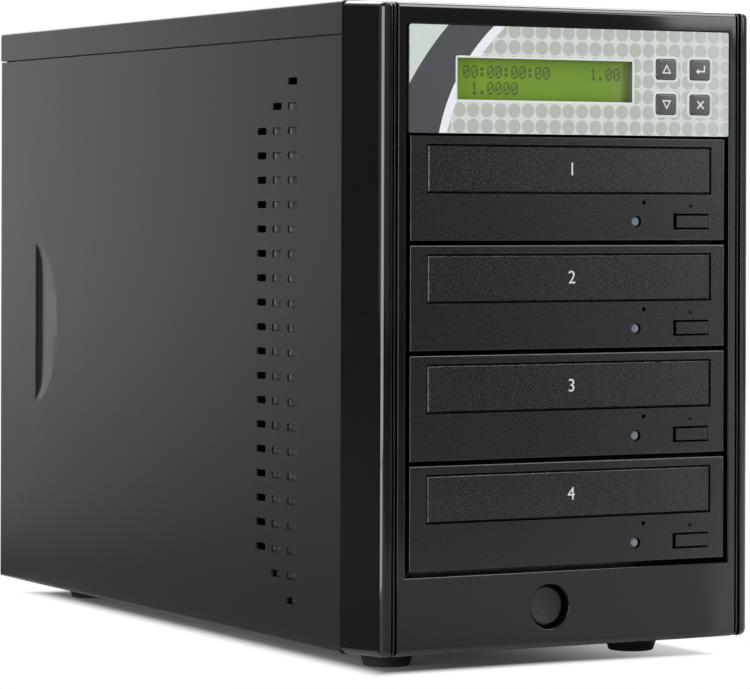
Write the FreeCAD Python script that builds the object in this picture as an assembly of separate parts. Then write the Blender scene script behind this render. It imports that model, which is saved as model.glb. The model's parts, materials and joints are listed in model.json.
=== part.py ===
import FreeCAD
import Part
import math
import os
from FreeCAD import Vector

# Tower disc duplicator: a painted steel case with a black moulded front, half-height
# optical drives in a cage under a control panel, a power supply and a fan at the rear.
# Millimetres, +Z up. The front faces -Y, and the origin is the middle of the footprint,
# on the surface that the feet stand on.

# Optical drives, to the half-height bay standard
DRIVE_COUNT = 4
FACE_GAP = 1.76
FACE_SIDE_LAP = 1.2
FACE_EDGE_LAP = 0.325
FACE_DEPTH = 5.0
FACE_WALL = 2.4
FACE_RIM = 2.2
FACE_EDGE_RADIUS = 0.6
SHELL_WIDTH = 146.0
SHELL_HEIGHT = 41.3
SHELL_LENGTH = 165.0
SHELL_WALL = 1.0
PLUG_WINDOW_WIDTH = 62.0
PLUG_WINDOW_HEIGHT = 9.0
PLUG_WINDOW_RISE = 8.0
DRIVE_SCREW_SETBACK = 52.0
DRIVE_SCREW_SPACING = 79.25
DRIVE_SCREW_RISE = 10.0

# Tray door and disc tray
DOOR_SIDE_MARGIN = 7.0
DOOR_WINDOW_HEIGHT = 19.65
DOOR_WINDOW_DROP = 3.45
DOOR_WINDOW_OFFSET = 0.4
DOOR_GAP = 0.45
DOOR_THICKNESS = 4.0
DOOR_BEVEL = 0.6
RAIL_MARGIN = 8.0
TRAY_REAR_GAP = 7.0
TRAY_THICKNESS = 6.0
TRAY_DROP = 14.5
TRAY_BAR = 8.0
TRAY_BAR_INSET = 1.2
TRAY_CORNER_RADIUS = 6.0
DISC_POCKET_RADIUS = 60.8
DISC_POCKET_DEPTH = 2.0
SMALL_POCKET_RADIUS = 40.6
SMALL_POCKET_DEPTH = 1.0
DISC_MARGIN = 3.0
TRAY_SLOT_WIDTH = 38.0
TRAY_SLOT_REAR_BAR = 9.0
FINGER_NOTCH_RADIUS = 9.0

# Mechanism inside each drive
RUNNING_CLEARANCE = 0.05
TURNTABLE_RADIUS = 14.0
TURNTABLE_THICKNESS = 1.2
HUB_RADIUS = 7.4
HUB_TIP_RADIUS = 5.4
HUB_HEIGHT = 1.6
SPINDLE_RADIUS = 1.5
SPINDLE_LENGTH = 4.2
MOTOR_RADIUS = 11.0
MOTOR_HEIGHT = 9.5
DECK_REAR_GAP = 10.7
DECK_THICKNESS = 2.0
RAIL_WALL = 2.0
RAIL_SHELF = 5.0
RAIL_LIP = 4.5
SLED_WIDTH = 30.0
SLED_LENGTH = 24.0
SLED_HEIGHT = 3.6
SLED_WINDOW_WIDTH = 40.0
SLED_WINDOW_LENGTH = 52.0
LENS_RADIUS = 2.6
LENS_HEIGHT = 0.8
GUIDE_ROD_RADIUS = 1.2
GUIDE_ROD_SPREAD = 11.0

# Eject flap, light and emergency hole on each drive face
FLAP_SIDE_MARGIN = 7.9
FLAP_WINDOW_LENGTH = 17.2
FLAP_WINDOW_DROP = 30.95
FLAP_WINDOW_HEIGHT = 6.5
FLAP_HINGE_GAP = 0.3
FLAP_SLOT = 0.85
FLAP_FREE_GAP = 1.6
FLAP_THICKNESS = 2.0
LIGHT_SIDE_MARGIN = 43.1
LIGHT_DROP = 34.2
LIGHT_HOLE_RADIUS = 2.4
LIGHT_RADIUS = 1.9
LIGHT_RECESS = 0.9
LIGHT_LENGTH = 5.0
LIGHT_FLANGE_RADIUS = 3.2
LIGHT_FLANGE = 1.0
PINHOLE_SIDE_MARGIN = 39.3
PINHOLE_DROP = 26.4
PINHOLE_RADIUS = 0.9

# Moulded front: two cheeks with a frame set between them
BEZEL_DEPTH = 34.5
BEZEL_INSET = 2.3
BEZEL_STEP = 0.3
HEAD_HEIGHT = 8.2
CHIN_HEIGHT = 30.75
CHEEK_WIDTH = 4.5
BEZEL_WALL = 2.5
CORNER_RADIUS = 3.8
TOP_EDGE_RADIUS = 2.6
BOTTOM_EDGE_RADIUS = 3.0
SOFT_EDGE = 0.4
GROOVE_WIDTH = 2.6
GROOVE_DEPTH = 2.0
GROOVE_RIB_WIDTH = 0.8
GROOVE_RIB_HEIGHT = 1.6
GROOVE_RIB_RADIUS = 0.3
LEDGE_THICKNESS = 2.0
LEDGE_LAP = 1.6
RETURN_WALL = 1.5
RETURN_DEPTH = 12.0
BAY_SIDE_GAP = 2.1
BAY_FLOOR_GAP = 2.15
CLIP_WIDTH = 8.0
CLIP_THICKNESS = 1.6
CLIP_BARB = 0.6
CLIP_REACH = 4.0
CLIP_COUNT = 3
CLIP_END_MARGIN = 40.0

# Round front button and the switch behind it
BUTTON_X = -9.6
BUTTON_RISE = 16.6
BUTTON_HOLE_RADIUS = 9.1
BUTTON_RADIUS = 8.2
BUTTON_RECESS = 3.2
BUTTON_EDGE_RADIUS = 1.2
BUTTON_DISH = 0.5
BUTTON_TRAVEL = 2.5
BUTTON_GUIDE_LENGTH = 6.0
BUTTON_GUIDE_WALL = 1.6
BUTTON_FLANGE = 1.6
BUTTON_STEM_RADIUS = 2.4
SWITCH_SIZE = 12.0
SWITCH_DEPTH = 7.5
SWITCH_PLUNGER_RADIUS = 2.0
SWITCH_PLUNGER_LENGTH = 3.0

# Control panel in the top bay
PANEL_SIDE_LAP = 1.1
PANEL_HEIGHT = 42.95
PANEL_FLOOR_GAP = 0.9
PANEL_ROOF_GAP = 0.2
PANEL_PROUD = 1.0
PANEL_WALL = 3.0
PANEL_CORNER_RADIUS = 0.8
FILM_THICKNESS = 0.3
CARRIER_OVERRUN = 3.0
CARRIER_WALL = 1.6
CARRIER_SHELF = 4.0
CARRIER_SHELF_RISE = 8.0
CARRIER_SCREW_RISE = 30.0
SCREEN_HEIGHT = 16.7
SCREEN_SIDE_MARGIN = 21.6
SCREEN_KEY_GAP = 11.1
SCREEN_RISE = 21.75
GLASS_MARGIN = 2.4
GLASS_THICKNESS = 1.8
BACKLIGHT_DEPTH = 3.6
BACKLIGHT_MARGIN = 4.0
KEY_WIDTH = 10.0
KEY_HEIGHT = 8.6
KEY_SIDE_MARGIN = 14.2
KEY_PITCH_X = 16.5
KEY_LOW_RISE = 12.9
KEY_PITCH_Z = 14.35
KEY_RADIUS = 1.2
KEY_GAP = 0.3
KEY_PROUD = 0.6
KEY_TRAVEL = 0.5
KEY_FLANGE = 1.0
KEY_FLANGE_WIDTH = 1.0
TACT_SIZE = 6.0
TACT_HEIGHT = 2.4
TACT_STEM_RADIUS = 1.7
BOARD_THICKNESS = 1.6
BOARD_SIDE_GAP = 0.8
BOARD_EDGE_MARGIN = 4.5
BOARD_LAP = 1.6
CONTROLLER_LENGTH = 92.0
CONTROLLER_SETBACK = 24.0
CHIP_SIZE = 28.0
CHIP_HEIGHT = 6.0
PORT_WIDTH = 5.0
PORT_HEIGHT = 8.0
PORT_LENGTH = 14.0

# Painted steel case
SHEET = 1.0
BEND_RADIUS = 1.5
CABLE_SPACE = 76.8
FOOT_DROP = 7.0
COVER_SKIRT = 13.4
SEAM_GAP = 0.6
SLIDE_GAP = 0.3
PANEL_TONGUE = 8.0
PANEL_HEM = 9.0
REAR_FLANGE = 15.0
TRAY_FLANGE = 14.0
PLATE_FLANGE = 10.0
PLATE_WING = 68.0
PLATE_WING_DROP = 22.3
PLATE_WING_CHAMFER = 16.0
CAGE_OVERRUN = 15.5
CAGE_FLANGE = 9.0
CAGE_GAP = 0.3
PANEL_SLIDE = 16.0

# Vent slots and finger pull on each side panel
VENT_COLUMNS = 3
VENT_ROWS = 22
VENT_SETBACK = 43.5
VENT_PITCH_Y = 14.0
VENT_PITCH_Z = 10.2
VENT_LENGTH = 8.2
VENT_HEIGHT = 3.0
VENT_RADIUS = 0.9
PULL_REAR_MARGIN = 43.5
PULL_LENGTH = 26.7
PULL_HEIGHT = 75.6
PULL_DEPTH = 1.7
PULL_WALL_DRAFT = 0.3
PULL_FLOOR_LENGTH = 3.5
PULL_FLOOR_HEIGHT = 60.0

# Feet, screws and thumbscrews
FOOT_TOP_RADIUS = 12.2
FOOT_BOTTOM_RADIUS = 9.4
FOOT_SIDE_MARGIN = 28.0
FOOT_END_MARGIN = 47.2
FOOT_RECESS_RADIUS = 4.6
FOOT_RECESS_DEPTH = 4.0
FOOT_EDGE_RADIUS = 0.8
SCREW_RADIUS = 1.45
SCREW_HOLE_RADIUS = 1.5
SCREW_LENGTH = 5.2
SCREW_HEAD_RADIUS = 2.8
SCREW_HEAD_HEIGHT = 2.0
THUMB_HEAD_RADIUS = 5.5
THUMB_HEAD_HEIGHT = 4.3
THUMB_SHANK_RADIUS = 1.9
THUMB_HOLE_RADIUS = 2.2
THUMB_LENGTH = 12.0
THUMB_END_MARGIN = 30.0
THUMB_GRIPS = 12
THUMB_GRIP_RADIUS = 0.7

# Power supply with its mains inlet and rocker switch
SUPPLY_SIDE_ROOM = 9.2
SUPPLY_FAN_GAP = 2.0
SUPPLY_LENGTH = 140.0
SUPPLY_WALL = 1.0
SUPPLY_LIP = 6.0
SUPPLY_FAN_MARGIN = 9.5
INLET_SIDE_MARGIN = 14.0
INLET_BRIDGE = 10.2
INLET_FLANGE = 2.0
INLET_BODY_MARGIN = 2.0
INLET_BODY_DEPTH = 21.0
SOCKET_WIDTH = 24.4
SOCKET_HEIGHT = 16.6
SOCKET_DEPTH = 17.0
SOCKET_SIDE_WALL = 2.8
SOCKET_MARGIN = 7.7
SOCKET_CHAMFER = 4.0
PIN_WIDTH = 2.0
PIN_HEIGHT = 4.0
PIN_LENGTH = 13.0
PIN_SPREAD = 7.0
PIN_STEP = 4.0
ROCKER_MARGIN = 4.5
ROCKER_WIDTH = 13.0
ROCKER_HEIGHT = 18.4
ROCKER_GAP = 0.4
ROCKER_END_GAP = 1.3
ROCKER_WELL_DEPTH = 10.0
ROCKER_AXIS_DEPTH = 3.4
ROCKER_CROWN = 4.6
ROCKER_DIP = 1.3
ROCKER_KEEL = 3.0
ROCKER_KEEL_HEIGHT = 9.0
ROCKER_PIN_RADIUS = 1.5
ROCKER_PIN_LENGTH = 3.0
ROCKER_TILT = 7.0

# Fans
FAN_SIZE = 80.0
FAN_DEPTH = 25.0
FAN_DUCT_WALL = 1.5
FAN_HOLE_MARGIN = 4.25
FAN_CORNER_RADIUS = 4.0
FAN_FLANGE = 4.0
FAN_HUB_RADIUS = 17.0
FAN_HUB_WALL = 1.6
FAN_MOTOR_PLATE = 3.0
FAN_STRUT_WIDTH = 5.0
FAN_BLADES = 7
FAN_TIP_GAP = 1.2
FAN_BLADE_THICKNESS = 1.2
FAN_ROOT_CHORD = 17.0
FAN_TIP_CHORD = 24.0
FAN_ROOT_PITCH = 44.0
FAN_TIP_PITCH = 58.0
FAN_AXIAL_GAP = 0.8
FAN_SHAFT_RADIUS = 1.5
FAN_EDGE_GAP = 14.0
GRILLE_RINGS = 5
GRILLE_EDGE = 1.9
GRILLE_BAR = 2.4
GRILLE_CENTRE_RADIUS = 7.0
GRILLE_SPOKES = 2
GRILLE_SPOKE = 3.6

# Wiring
DATA_CABLE_RADIUS = 2.0
POWER_CABLE_RADIUS = 2.6
CABLE_BEND_RADIUS = 8.0
CABLE_PITCH = 6.0
DATA_PLUG_X = -8.0
POWER_PLUG_X = 8.0
DATA_DROP_SETBACK = 16.0
POWER_DROP_SETBACK = 16.0
POWER_EXIT_RISE = 70.0

# Sizes and places worked out from those above
FACE_WIDTH = SHELL_WIDTH + 2 * FACE_SIDE_LAP
FACE_HEIGHT = SHELL_HEIGHT + 2 * FACE_EDGE_LAP
DRIVE_PITCH = FACE_HEIGHT + FACE_GAP
DOOR_WINDOW_WIDTH = FACE_WIDTH - 2 * DOOR_SIDE_MARGIN
TRAY_WIDTH = SHELL_WIDTH - 2 * SHELL_WALL - 2 * RAIL_MARGIN
FLAP_WINDOW_RIGHT = FACE_WIDTH / 2 - FLAP_SIDE_MARGIN
FLAP_WINDOW_LEFT = FLAP_WINDOW_RIGHT - FLAP_WINDOW_LENGTH
LIGHT_X = FACE_WIDTH / 2 - LIGHT_SIDE_MARGIN
PINHOLE_X = FACE_WIDTH / 2 - PINHOLE_SIDE_MARGIN
PANEL_WIDTH = FACE_WIDTH + 2 * PANEL_SIDE_LAP
KEY_RIGHT_X = PANEL_WIDTH / 2 - KEY_SIDE_MARGIN
KEY_LEFT_X = KEY_RIGHT_X - KEY_PITCH_X
SCREEN_LEFT = SCREEN_SIDE_MARGIN - PANEL_WIDTH / 2
SCREEN_WIDTH = KEY_LEFT_X - KEY_WIDTH / 2 - SCREEN_KEY_GAP - SCREEN_LEFT
SCREEN_CENTRE_X = SCREEN_LEFT + SCREEN_WIDTH / 2
CARRIER_LENGTH = PANEL_WALL + CONTROLLER_SETBACK + CONTROLLER_LENGTH + CARRIER_OVERRUN
DISPLAY_BOARD_HEIGHT = PANEL_HEIGHT - 2 * BOARD_EDGE_MARGIN
FAN_BORE_RADIUS = FAN_SIZE / 2 - FAN_DUCT_WALL
FAN_HOLE_SPACING = FAN_SIZE - 2 * FAN_HOLE_MARGIN
GRILLE_RADIUS = FAN_BORE_RADIUS - GRILLE_EDGE
GRILLE_RING_PITCH = (GRILLE_RADIUS + GRILLE_BAR - GRILLE_CENTRE_RADIUS) / GRILLE_RINGS
SUPPLY_HEIGHT = FAN_SIZE + 2 * SUPPLY_FAN_GAP + 2 * SUPPLY_WALL
ROCKER_WELL_HEIGHT = ROCKER_HEIGHT + 2 * ROCKER_END_GAP
INLET_WIDTH = SOCKET_WIDTH + 2 * SOCKET_SIDE_WALL
INLET_HEIGHT = SOCKET_MARGIN + SOCKET_HEIGHT + INLET_BRIDGE + ROCKER_WELL_HEIGHT + ROCKER_MARGIN
SOCKET_DROP = INLET_HEIGHT / 2 - SOCKET_MARGIN - SOCKET_HEIGHT / 2
ROCKER_RISE = INLET_HEIGHT / 2 - ROCKER_MARGIN - ROCKER_WELL_HEIGHT / 2

FRAME_INNER = FACE_WIDTH / 2 + BAY_SIDE_GAP
LEDGE_INNER = FRAME_INNER + RETURN_WALL + SLIDE_GAP
FRAME_OUTER = LEDGE_INNER + LEDGE_LAP
CHEEK_INNER = FRAME_OUTER + GROOVE_WIDTH
HALF_WIDTH = CHEEK_INNER + CHEEK_WIDTH
CASE_BOTTOM = FOOT_DROP
BEZEL_BOTTOM = CASE_BOTTOM + BEZEL_INSET
OPENING_BOTTOM = BEZEL_BOTTOM + CHIN_HEIGHT
STACK_BOTTOM = OPENING_BOTTOM + BAY_FLOOR_GAP
STACK_TOP = STACK_BOTTOM + (DRIVE_COUNT - 1) * DRIVE_PITCH + FACE_HEIGHT
PANEL_BOTTOM = STACK_TOP + PANEL_FLOOR_GAP
PANEL_TOP = PANEL_BOTTOM + PANEL_HEIGHT
OPENING_TOP = PANEL_TOP + PANEL_ROOF_GAP
BEZEL_TOP = OPENING_TOP + HEAD_HEIGHT
CASE_TOP = BEZEL_TOP + BEZEL_INSET
COVER_UNDERSIDE = CASE_TOP - SHEET
SEAM_TOP = CASE_TOP - COVER_SKIRT
SEAM_BOTTOM = SEAM_TOP - SEAM_GAP
TRAY_UNDERSIDE = CASE_BOTTOM + SHEET + SLIDE_GAP
TRAY_FLOOR = TRAY_UNDERSIDE + SHEET
PANEL_MIDDLE = (CASE_BOTTOM + SEAM_BOTTOM) / 2

DRIVE_DEPTH = FACE_DEPTH + SHELL_LENGTH
REAR_SHEETS = 2 * SHEET + SLIDE_GAP
BODY_LENGTH = DRIVE_DEPTH + CABLE_SPACE + SUPPLY_LENGTH + REAR_SHEETS - BEZEL_DEPTH
CAGE_LENGTH = DRIVE_DEPTH + CAGE_OVERRUN - BEZEL_DEPTH - SHEET
TOTAL_DEPTH = PANEL_PROUD + KEY_PROUD + BEZEL_DEPTH + BODY_LENGTH + THUMB_HEAD_HEIGHT
FACE_Y = PANEL_PROUD + KEY_PROUD - TOTAL_DEPTH / 2
BEZEL_BACK = FACE_Y + BEZEL_DEPTH
CASE_BACK = BEZEL_BACK + BODY_LENGTH
BODY_FRONT = BEZEL_BACK + SLIDE_GAP
PLATE_BACK = BEZEL_BACK + SHEET
REAR_OUTER = CASE_BACK - SHEET - SLIDE_GAP
REAR_INNER = REAR_OUTER - SHEET
SHELL_FRONT = FACE_Y + FACE_DEPTH
SHELL_BACK = SHELL_FRONT + SHELL_LENGTH

PANEL_INNER = HALF_WIDTH - SHEET
STRUCTURE_HALF = PANEL_INNER - SHEET - 2 * SLIDE_GAP
CAGE_INNER = SHELL_WIDTH / 2 + CAGE_GAP
CAGE_OUTER = CAGE_INNER + SHEET
THUMB_X = HALF_WIDTH - REAR_FLANGE / 2
TRAY_FRONT = FACE_Y + DOOR_THICKNESS
TRAY_LENGTH = SHELL_BACK - SHELL_WALL - TRAY_REAR_GAP - TRAY_FRONT
DECK_FRONT = TRAY_FRONT + TRAY_BAR + SLIDE_GAP
DECK_LENGTH = SHELL_BACK - SHELL_WALL - DECK_REAR_GAP - DECK_FRONT
DISC_CENTRE_Y = TRAY_FRONT + TRAY_BAR + DISC_MARGIN + DISC_POCKET_RADIUS
SUPPLY_WIDTH = 2 * (STRUCTURE_HALF - SUPPLY_SIDE_ROOM)
SUPPLY_FAN_X = SUPPLY_FAN_MARGIN + FAN_SIZE / 2 - SUPPLY_WIDTH / 2
INLET_X = SUPPLY_WIDTH / 2 - INLET_SIDE_MARGIN - INLET_WIDTH / 2
SUPPLY_TOP = TRAY_FLOOR + SUPPLY_HEIGHT
SUPPLY_FRONT = REAR_INNER - SUPPLY_LENGTH
SUPPLY_MIDDLE = TRAY_FLOOR + SUPPLY_HEIGHT / 2
EXHAUST_Z = SUPPLY_TOP + FAN_EDGE_GAP + FAN_SIZE / 2
BUTTON_Z = BEZEL_BOTTOM + BUTTON_RISE
CARRIER_HALF = CAGE_INNER - CAGE_GAP
DISPLAY_BOARD_HALF = CARRIER_HALF - CARRIER_WALL - BOARD_SIDE_GAP
FILM_FRONT = FACE_Y - PANEL_PROUD
CARRIER_FRONT = FILM_FRONT + FILM_THICKNESS
CARRIER_BACK = CARRIER_FRONT + PANEL_WALL
INLET_FACE = REAR_INNER + INLET_FLANGE
CONTROLLER_FLOOR = PANEL_BOTTOM + CARRIER_SHELF_RISE + CARRIER_WALL

X = Vector(1, 0, 0)
Y = Vector(0, 1, 0)
Z = Vector(0, 0, 1)
ORIGIN = Vector(0, 0, 0)
NEAR = 1e-3


def box(x0, x1, y0, y1, z0, z1):
    corner = Vector(min(x0, x1), min(y0, y1), min(z0, z1))
    return Part.makeBox(abs(x1 - x0), abs(y1 - y0), abs(z1 - z0), corner)


def rod(radius, start, direction, length):
    return Part.makeCylinder(radius, length, start, direction)


def prism(points, direction):
    return Part.Face(Part.makePolygon(points + [points[0]])).extrude(direction)


def joined(shapes):
    return shapes[0].multiFuse(shapes[1:]).removeSplitter()


def mirrored(shape):
    return shape.mirror(ORIGIN, X)


def both_sides(shape):
    return [shape, mirrored(shape)]


def span(edge, axis):
    low, high = {
        "x": (edge.BoundBox.XMin, edge.BoundBox.XMax),
        "y": (edge.BoundBox.YMin, edge.BoundBox.YMax),
        "z": (edge.BoundBox.ZMin, edge.BoundBox.ZMax),
    }[axis]
    return low, high


def edges_at(shape, **planes):
    """The edges that lie in all of the given planes, such as y=0 or x=5, z=2."""
    found = []
    for edge in shape.Edges:
        spans = [(span(edge, axis), value) for axis, value in planes.items()]
        if all(abs(low - v) < NEAR and abs(high - v) < NEAR for (low, high), v in spans):
            found.append(edge)
    return found


def edges_along(shape, axis):
    """The straight edges that run along one axis."""
    others = [a for a in "xyz" if a != axis]
    flat = [e for e in shape.Edges if all(span(e, a)[1] - span(e, a)[0] < NEAR for a in others)]
    return [e for e in flat if span(e, axis)[1] - span(e, axis)[0] > NEAR]


def rounded_box(x0, x1, y0, y1, z0, z1, radius, axis):
    slab = box(x0, x1, y0, y1, z0, z1)
    return slab.makeFillet(radius, edges_along(slab, axis))


def drive_bottom(number):
    """Underside of a drive's face: drive 1 is at the top of the stack."""
    return STACK_BOTTOM + (DRIVE_COUNT - number) * DRIVE_PITCH


def drive_top(number):
    return drive_bottom(number) + FACE_HEIGHT


def shell_bottom(number):
    return drive_bottom(number) + (FACE_HEIGHT - SHELL_HEIGHT) / 2


DRIVES = range(1, DRIVE_COUNT + 1)


def front_form(x0, x1, inset):
    """The front's form between two planes, tapered from the case's height and drawn in by an inset."""
    front = FACE_Y + inset
    return prism(
        [
            Vector(x0, front, BEZEL_BOTTOM + inset),
            Vector(x0, front, BEZEL_TOP - inset),
            Vector(x0, BEZEL_BACK, CASE_TOP - BEZEL_STEP - inset),
            Vector(x0, BEZEL_BACK, CASE_BOTTOM + BEZEL_STEP + inset),
        ],
        X * (x1 - x0),
    )


def bezel_block():
    """Outer form of the whole front, with its corners and edges rounded."""
    block = front_form(-HALF_WIDTH, HALF_WIDTH, 0)
    upright = [e for e in edges_along(block, "z") if e.BoundBox.YMin < FACE_Y + NEAR]
    block = block.makeFillet(CORNER_RADIUS, upright)
    ahead = [e for e in block.Edges if e.BoundBox.YMin < BEZEL_BACK - NEAR]
    block = block.makeFillet(TOP_EDGE_RADIUS, [e for e in ahead if e.BoundBox.ZMin > BEZEL_TOP - NEAR])
    ahead = [e for e in block.Edges if e.BoundBox.YMin < BEZEL_BACK - NEAR]
    return block.makeFillet(
        BOTTOM_EDGE_RADIUS, [e for e in ahead if e.BoundBox.ZMax < BEZEL_BOTTOM + NEAR]
    )


def groove_band(x0, x1, inset):
    """A slice of the front's form between two planes, drawn in from the surface."""
    band = front_form(x0, x1, inset)
    top = edges_at(band, y=FACE_Y + inset, z=BEZEL_TOP - inset)
    band = band.makeFillet(TOP_EDGE_RADIUS - inset, top)
    bottom = edges_at(band, y=FACE_Y + inset, z=BEZEL_BOTTOM + inset)
    return band.makeFillet(BOTTOM_EDGE_RADIUS - inset, bottom)


def clip_heights():
    step = (BEZEL_TOP - BEZEL_BOTTOM - 2 * CLIP_END_MARGIN) / (CLIP_COUNT - 1)
    return [BEZEL_BOTTOM + CLIP_END_MARGIN + step * i for i in range(CLIP_COUNT)]


def clip_x():
    """Inner face of the clip arms, behind the ledge of each cheek."""
    return CHEEK_INNER - CLIP_THICKNESS


def front_cheek():
    """Left cheek: gloss moulding with the ledge and rib of the groove and the clips."""
    outside = box(-HALF_WIDTH, -CHEEK_INNER, FACE_Y, BEZEL_BACK, CASE_BOTTOM, CASE_TOP)
    skin = bezel_block().common(outside)
    rim = [e for e in edges_at(skin, x=-CHEEK_INNER) if e.BoundBox.YMin < BEZEL_BACK - NEAR]
    skin = skin.makeFillet(SOFT_EDGE, rim)
    hollow = front_form(-HALF_WIDTH + BEZEL_WALL, 0, GROOVE_DEPTH + LEDGE_THICKNESS)
    ledge = groove_band(-CHEEK_INNER - SOFT_EDGE, -LEDGE_INNER, GROOVE_DEPTH)
    rib_outer = (CHEEK_INNER + FRAME_OUTER + GROOVE_RIB_WIDTH) / 2
    rib = groove_band(-rib_outer, GROOVE_RIB_WIDTH - rib_outer, GROOVE_DEPTH - GROOVE_RIB_HEIGHT)
    for side in (-rib_outer, GROOVE_RIB_WIDTH - rib_outer):
        rim = [e for e in edges_at(rib, x=side) if e.BoundBox.YMin < BEZEL_BACK - NEAR]
        rib = rib.makeFillet(GROOVE_RIB_RADIUS, rim)
    arms = []
    for height in clip_heights():
        arms.append(
            prism(
                [
                    Vector(-CHEEK_INNER, FACE_Y + GROOVE_DEPTH, height - CLIP_WIDTH / 2),
                    Vector(-clip_x(), FACE_Y + GROOVE_DEPTH, height - CLIP_WIDTH / 2),
                    Vector(-clip_x(), PLATE_BACK + CLIP_REACH, height - CLIP_WIDTH / 2),
                    Vector(-CHEEK_INNER, PLATE_BACK + CLIP_REACH, height - CLIP_WIDTH / 2),
                    Vector(-CHEEK_INNER - CLIP_BARB, PLATE_BACK + SLIDE_GAP, height - CLIP_WIDTH / 2),
                    Vector(-CHEEK_INNER, PLATE_BACK + SLIDE_GAP, height - CLIP_WIDTH / 2),
                ],
                Z * CLIP_WIDTH,
            )
        )
    return joined([joined([skin, ledge, rib]).cut(hollow)] + arms)


def front_frame():
    """Centre frame: front wall with the bay opening, wrapped over the top and bottom."""
    frame = groove_band(-FRAME_OUTER, FRAME_OUTER, 0)
    for side in (-FRAME_OUTER, FRAME_OUTER):
        rim = [e for e in edges_at(frame, x=side) if e.BoundBox.YMin < BEZEL_BACK - NEAR]
        frame = frame.makeFillet(SOFT_EDGE, rim)
    frame = frame.cut(front_form(-HALF_WIDTH, HALF_WIDTH, GROOVE_DEPTH))
    surround = box(
        -FRAME_INNER - RETURN_WALL,
        FRAME_INNER + RETURN_WALL,
        FACE_Y + GROOVE_DEPTH / 2,
        FACE_Y + RETURN_DEPTH,
        OPENING_BOTTOM - RETURN_WALL,
        OPENING_TOP + RETURN_WALL,
    )
    guide = rod(
        BUTTON_HOLE_RADIUS + BUTTON_GUIDE_WALL,
        Vector(BUTTON_X, FACE_Y + GROOVE_DEPTH / 2, BUTTON_Z),
        Y,
        BUTTON_GUIDE_LENGTH + GROOVE_DEPTH / 2,
    )
    frame = joined([frame, surround, guide])
    opening = box(
        -FRAME_INNER, FRAME_INNER, FACE_Y, FACE_Y + RETURN_DEPTH, OPENING_BOTTOM, OPENING_TOP
    )
    hole = rod(BUTTON_HOLE_RADIUS, Vector(BUTTON_X, FACE_Y, BUTTON_Z), Y, BEZEL_DEPTH)
    frame = frame.cut([opening, hole])
    lip = [
        e
        for e in edges_at(frame, y=FACE_Y)
        if abs(e.BoundBox.XMax) < FRAME_INNER + NEAR
        and abs(e.BoundBox.XMin) < FRAME_INNER + NEAR
    ]
    return frame.makeFillet(SOFT_EDGE, lip)


def power_button():
    """Round button, slightly dished, with a flange behind the guide and a stem."""
    front = FACE_Y + BUTTON_RECESS
    back = FACE_Y + GROOVE_DEPTH + BUTTON_GUIDE_LENGTH + SLIDE_GAP
    cap = rod(BUTTON_RADIUS, Vector(BUTTON_X, front, BUTTON_Z), Y, back - front)
    cap = cap.makeFillet(BUTTON_EDGE_RADIUS, edges_at(cap, y=front))
    flat = BUTTON_RADIUS - BUTTON_EDGE_RADIUS
    bowl_radius = (flat * flat + BUTTON_DISH * BUTTON_DISH) / (2 * BUTTON_DISH)
    bowl = Part.makeSphere(bowl_radius, Vector(BUTTON_X, front + BUTTON_DISH - bowl_radius, BUTTON_Z))
    flange = rod(
        BUTTON_HOLE_RADIUS + BUTTON_GUIDE_WALL, Vector(BUTTON_X, back, BUTTON_Z), Y, BUTTON_FLANGE
    )
    stem_length = switch_tip() - SLIDE_GAP - BUTTON_TRAVEL - back
    stem = rod(BUTTON_STEM_RADIUS, Vector(BUTTON_X, back, BUTTON_Z), Y, stem_length)
    return joined([cap.cut(bowl), flange, stem])


def switch_tip():
    return BEZEL_BACK - SWITCH_DEPTH - SWITCH_PLUNGER_LENGTH


def power_switch():
    """Push switch on the front plate, in line with the button's stem."""
    half = SWITCH_SIZE / 2
    body = box(
        BUTTON_X - half,
        BUTTON_X + half,
        BEZEL_BACK - SWITCH_DEPTH,
        BEZEL_BACK,
        BUTTON_Z - half,
        BUTTON_Z + half,
    )
    plunger = rod(
        SWITCH_PLUNGER_RADIUS, Vector(BUTTON_X, switch_tip(), BUTTON_Z), Y, SWITCH_PLUNGER_LENGTH
    )
    return joined([body, plunger])


def front_plate():
    """Steel plate behind the moulded front, with wings behind the vents and slots for the clips."""
    plate = box(
        -STRUCTURE_HALF, STRUCTURE_HALF, BEZEL_BACK, PLATE_BACK, TRAY_FLOOR, COVER_UNDERSIDE
    )
    flange = box(
        -STRUCTURE_HALF,
        -STRUCTURE_HALF + SHEET,
        BEZEL_BACK,
        PLATE_BACK + PLATE_FLANGE,
        TRAY_FLOOR + TRAY_FLANGE,
        SEAM_BOTTOM - SLIDE_GAP,
    )
    wing_back = PLATE_BACK + PLATE_WING
    wing_top = SEAM_BOTTOM - PLATE_WING_DROP
    wing_outline = [
        (BEZEL_BACK, TRAY_FLOOR + TRAY_FLANGE),
        (wing_back, TRAY_FLOOR + TRAY_FLANGE),
        (wing_back, wing_top - PLATE_WING_CHAMFER),
        (wing_back - PLATE_WING_CHAMFER, wing_top),
        (BEZEL_BACK, wing_top),
    ]
    wing = prism([Vector(-STRUCTURE_HALF, y, z) for y, z in wing_outline], X * SHEET)
    plate = joined([plate] + both_sides(flange) + both_sides(wing))
    window = box(
        -CAGE_INNER,
        CAGE_INNER,
        BEZEL_BACK,
        PLATE_BACK,
        shell_bottom(DRIVE_COUNT) - CAGE_GAP,
        PANEL_TOP + CAGE_GAP,
    )
    cuts = [window]
    for height in clip_heights():
        slot = box(
            -CHEEK_INNER - CLIP_BARB,
            -clip_x() + SLIDE_GAP,
            BEZEL_BACK,
            PLATE_BACK,
            height - CLIP_WIDTH / 2 - SLIDE_GAP,
            height + CLIP_WIDTH / 2 + SLIDE_GAP,
        )
        cuts += both_sides(slot)
    return plate.cut(cuts)


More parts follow.
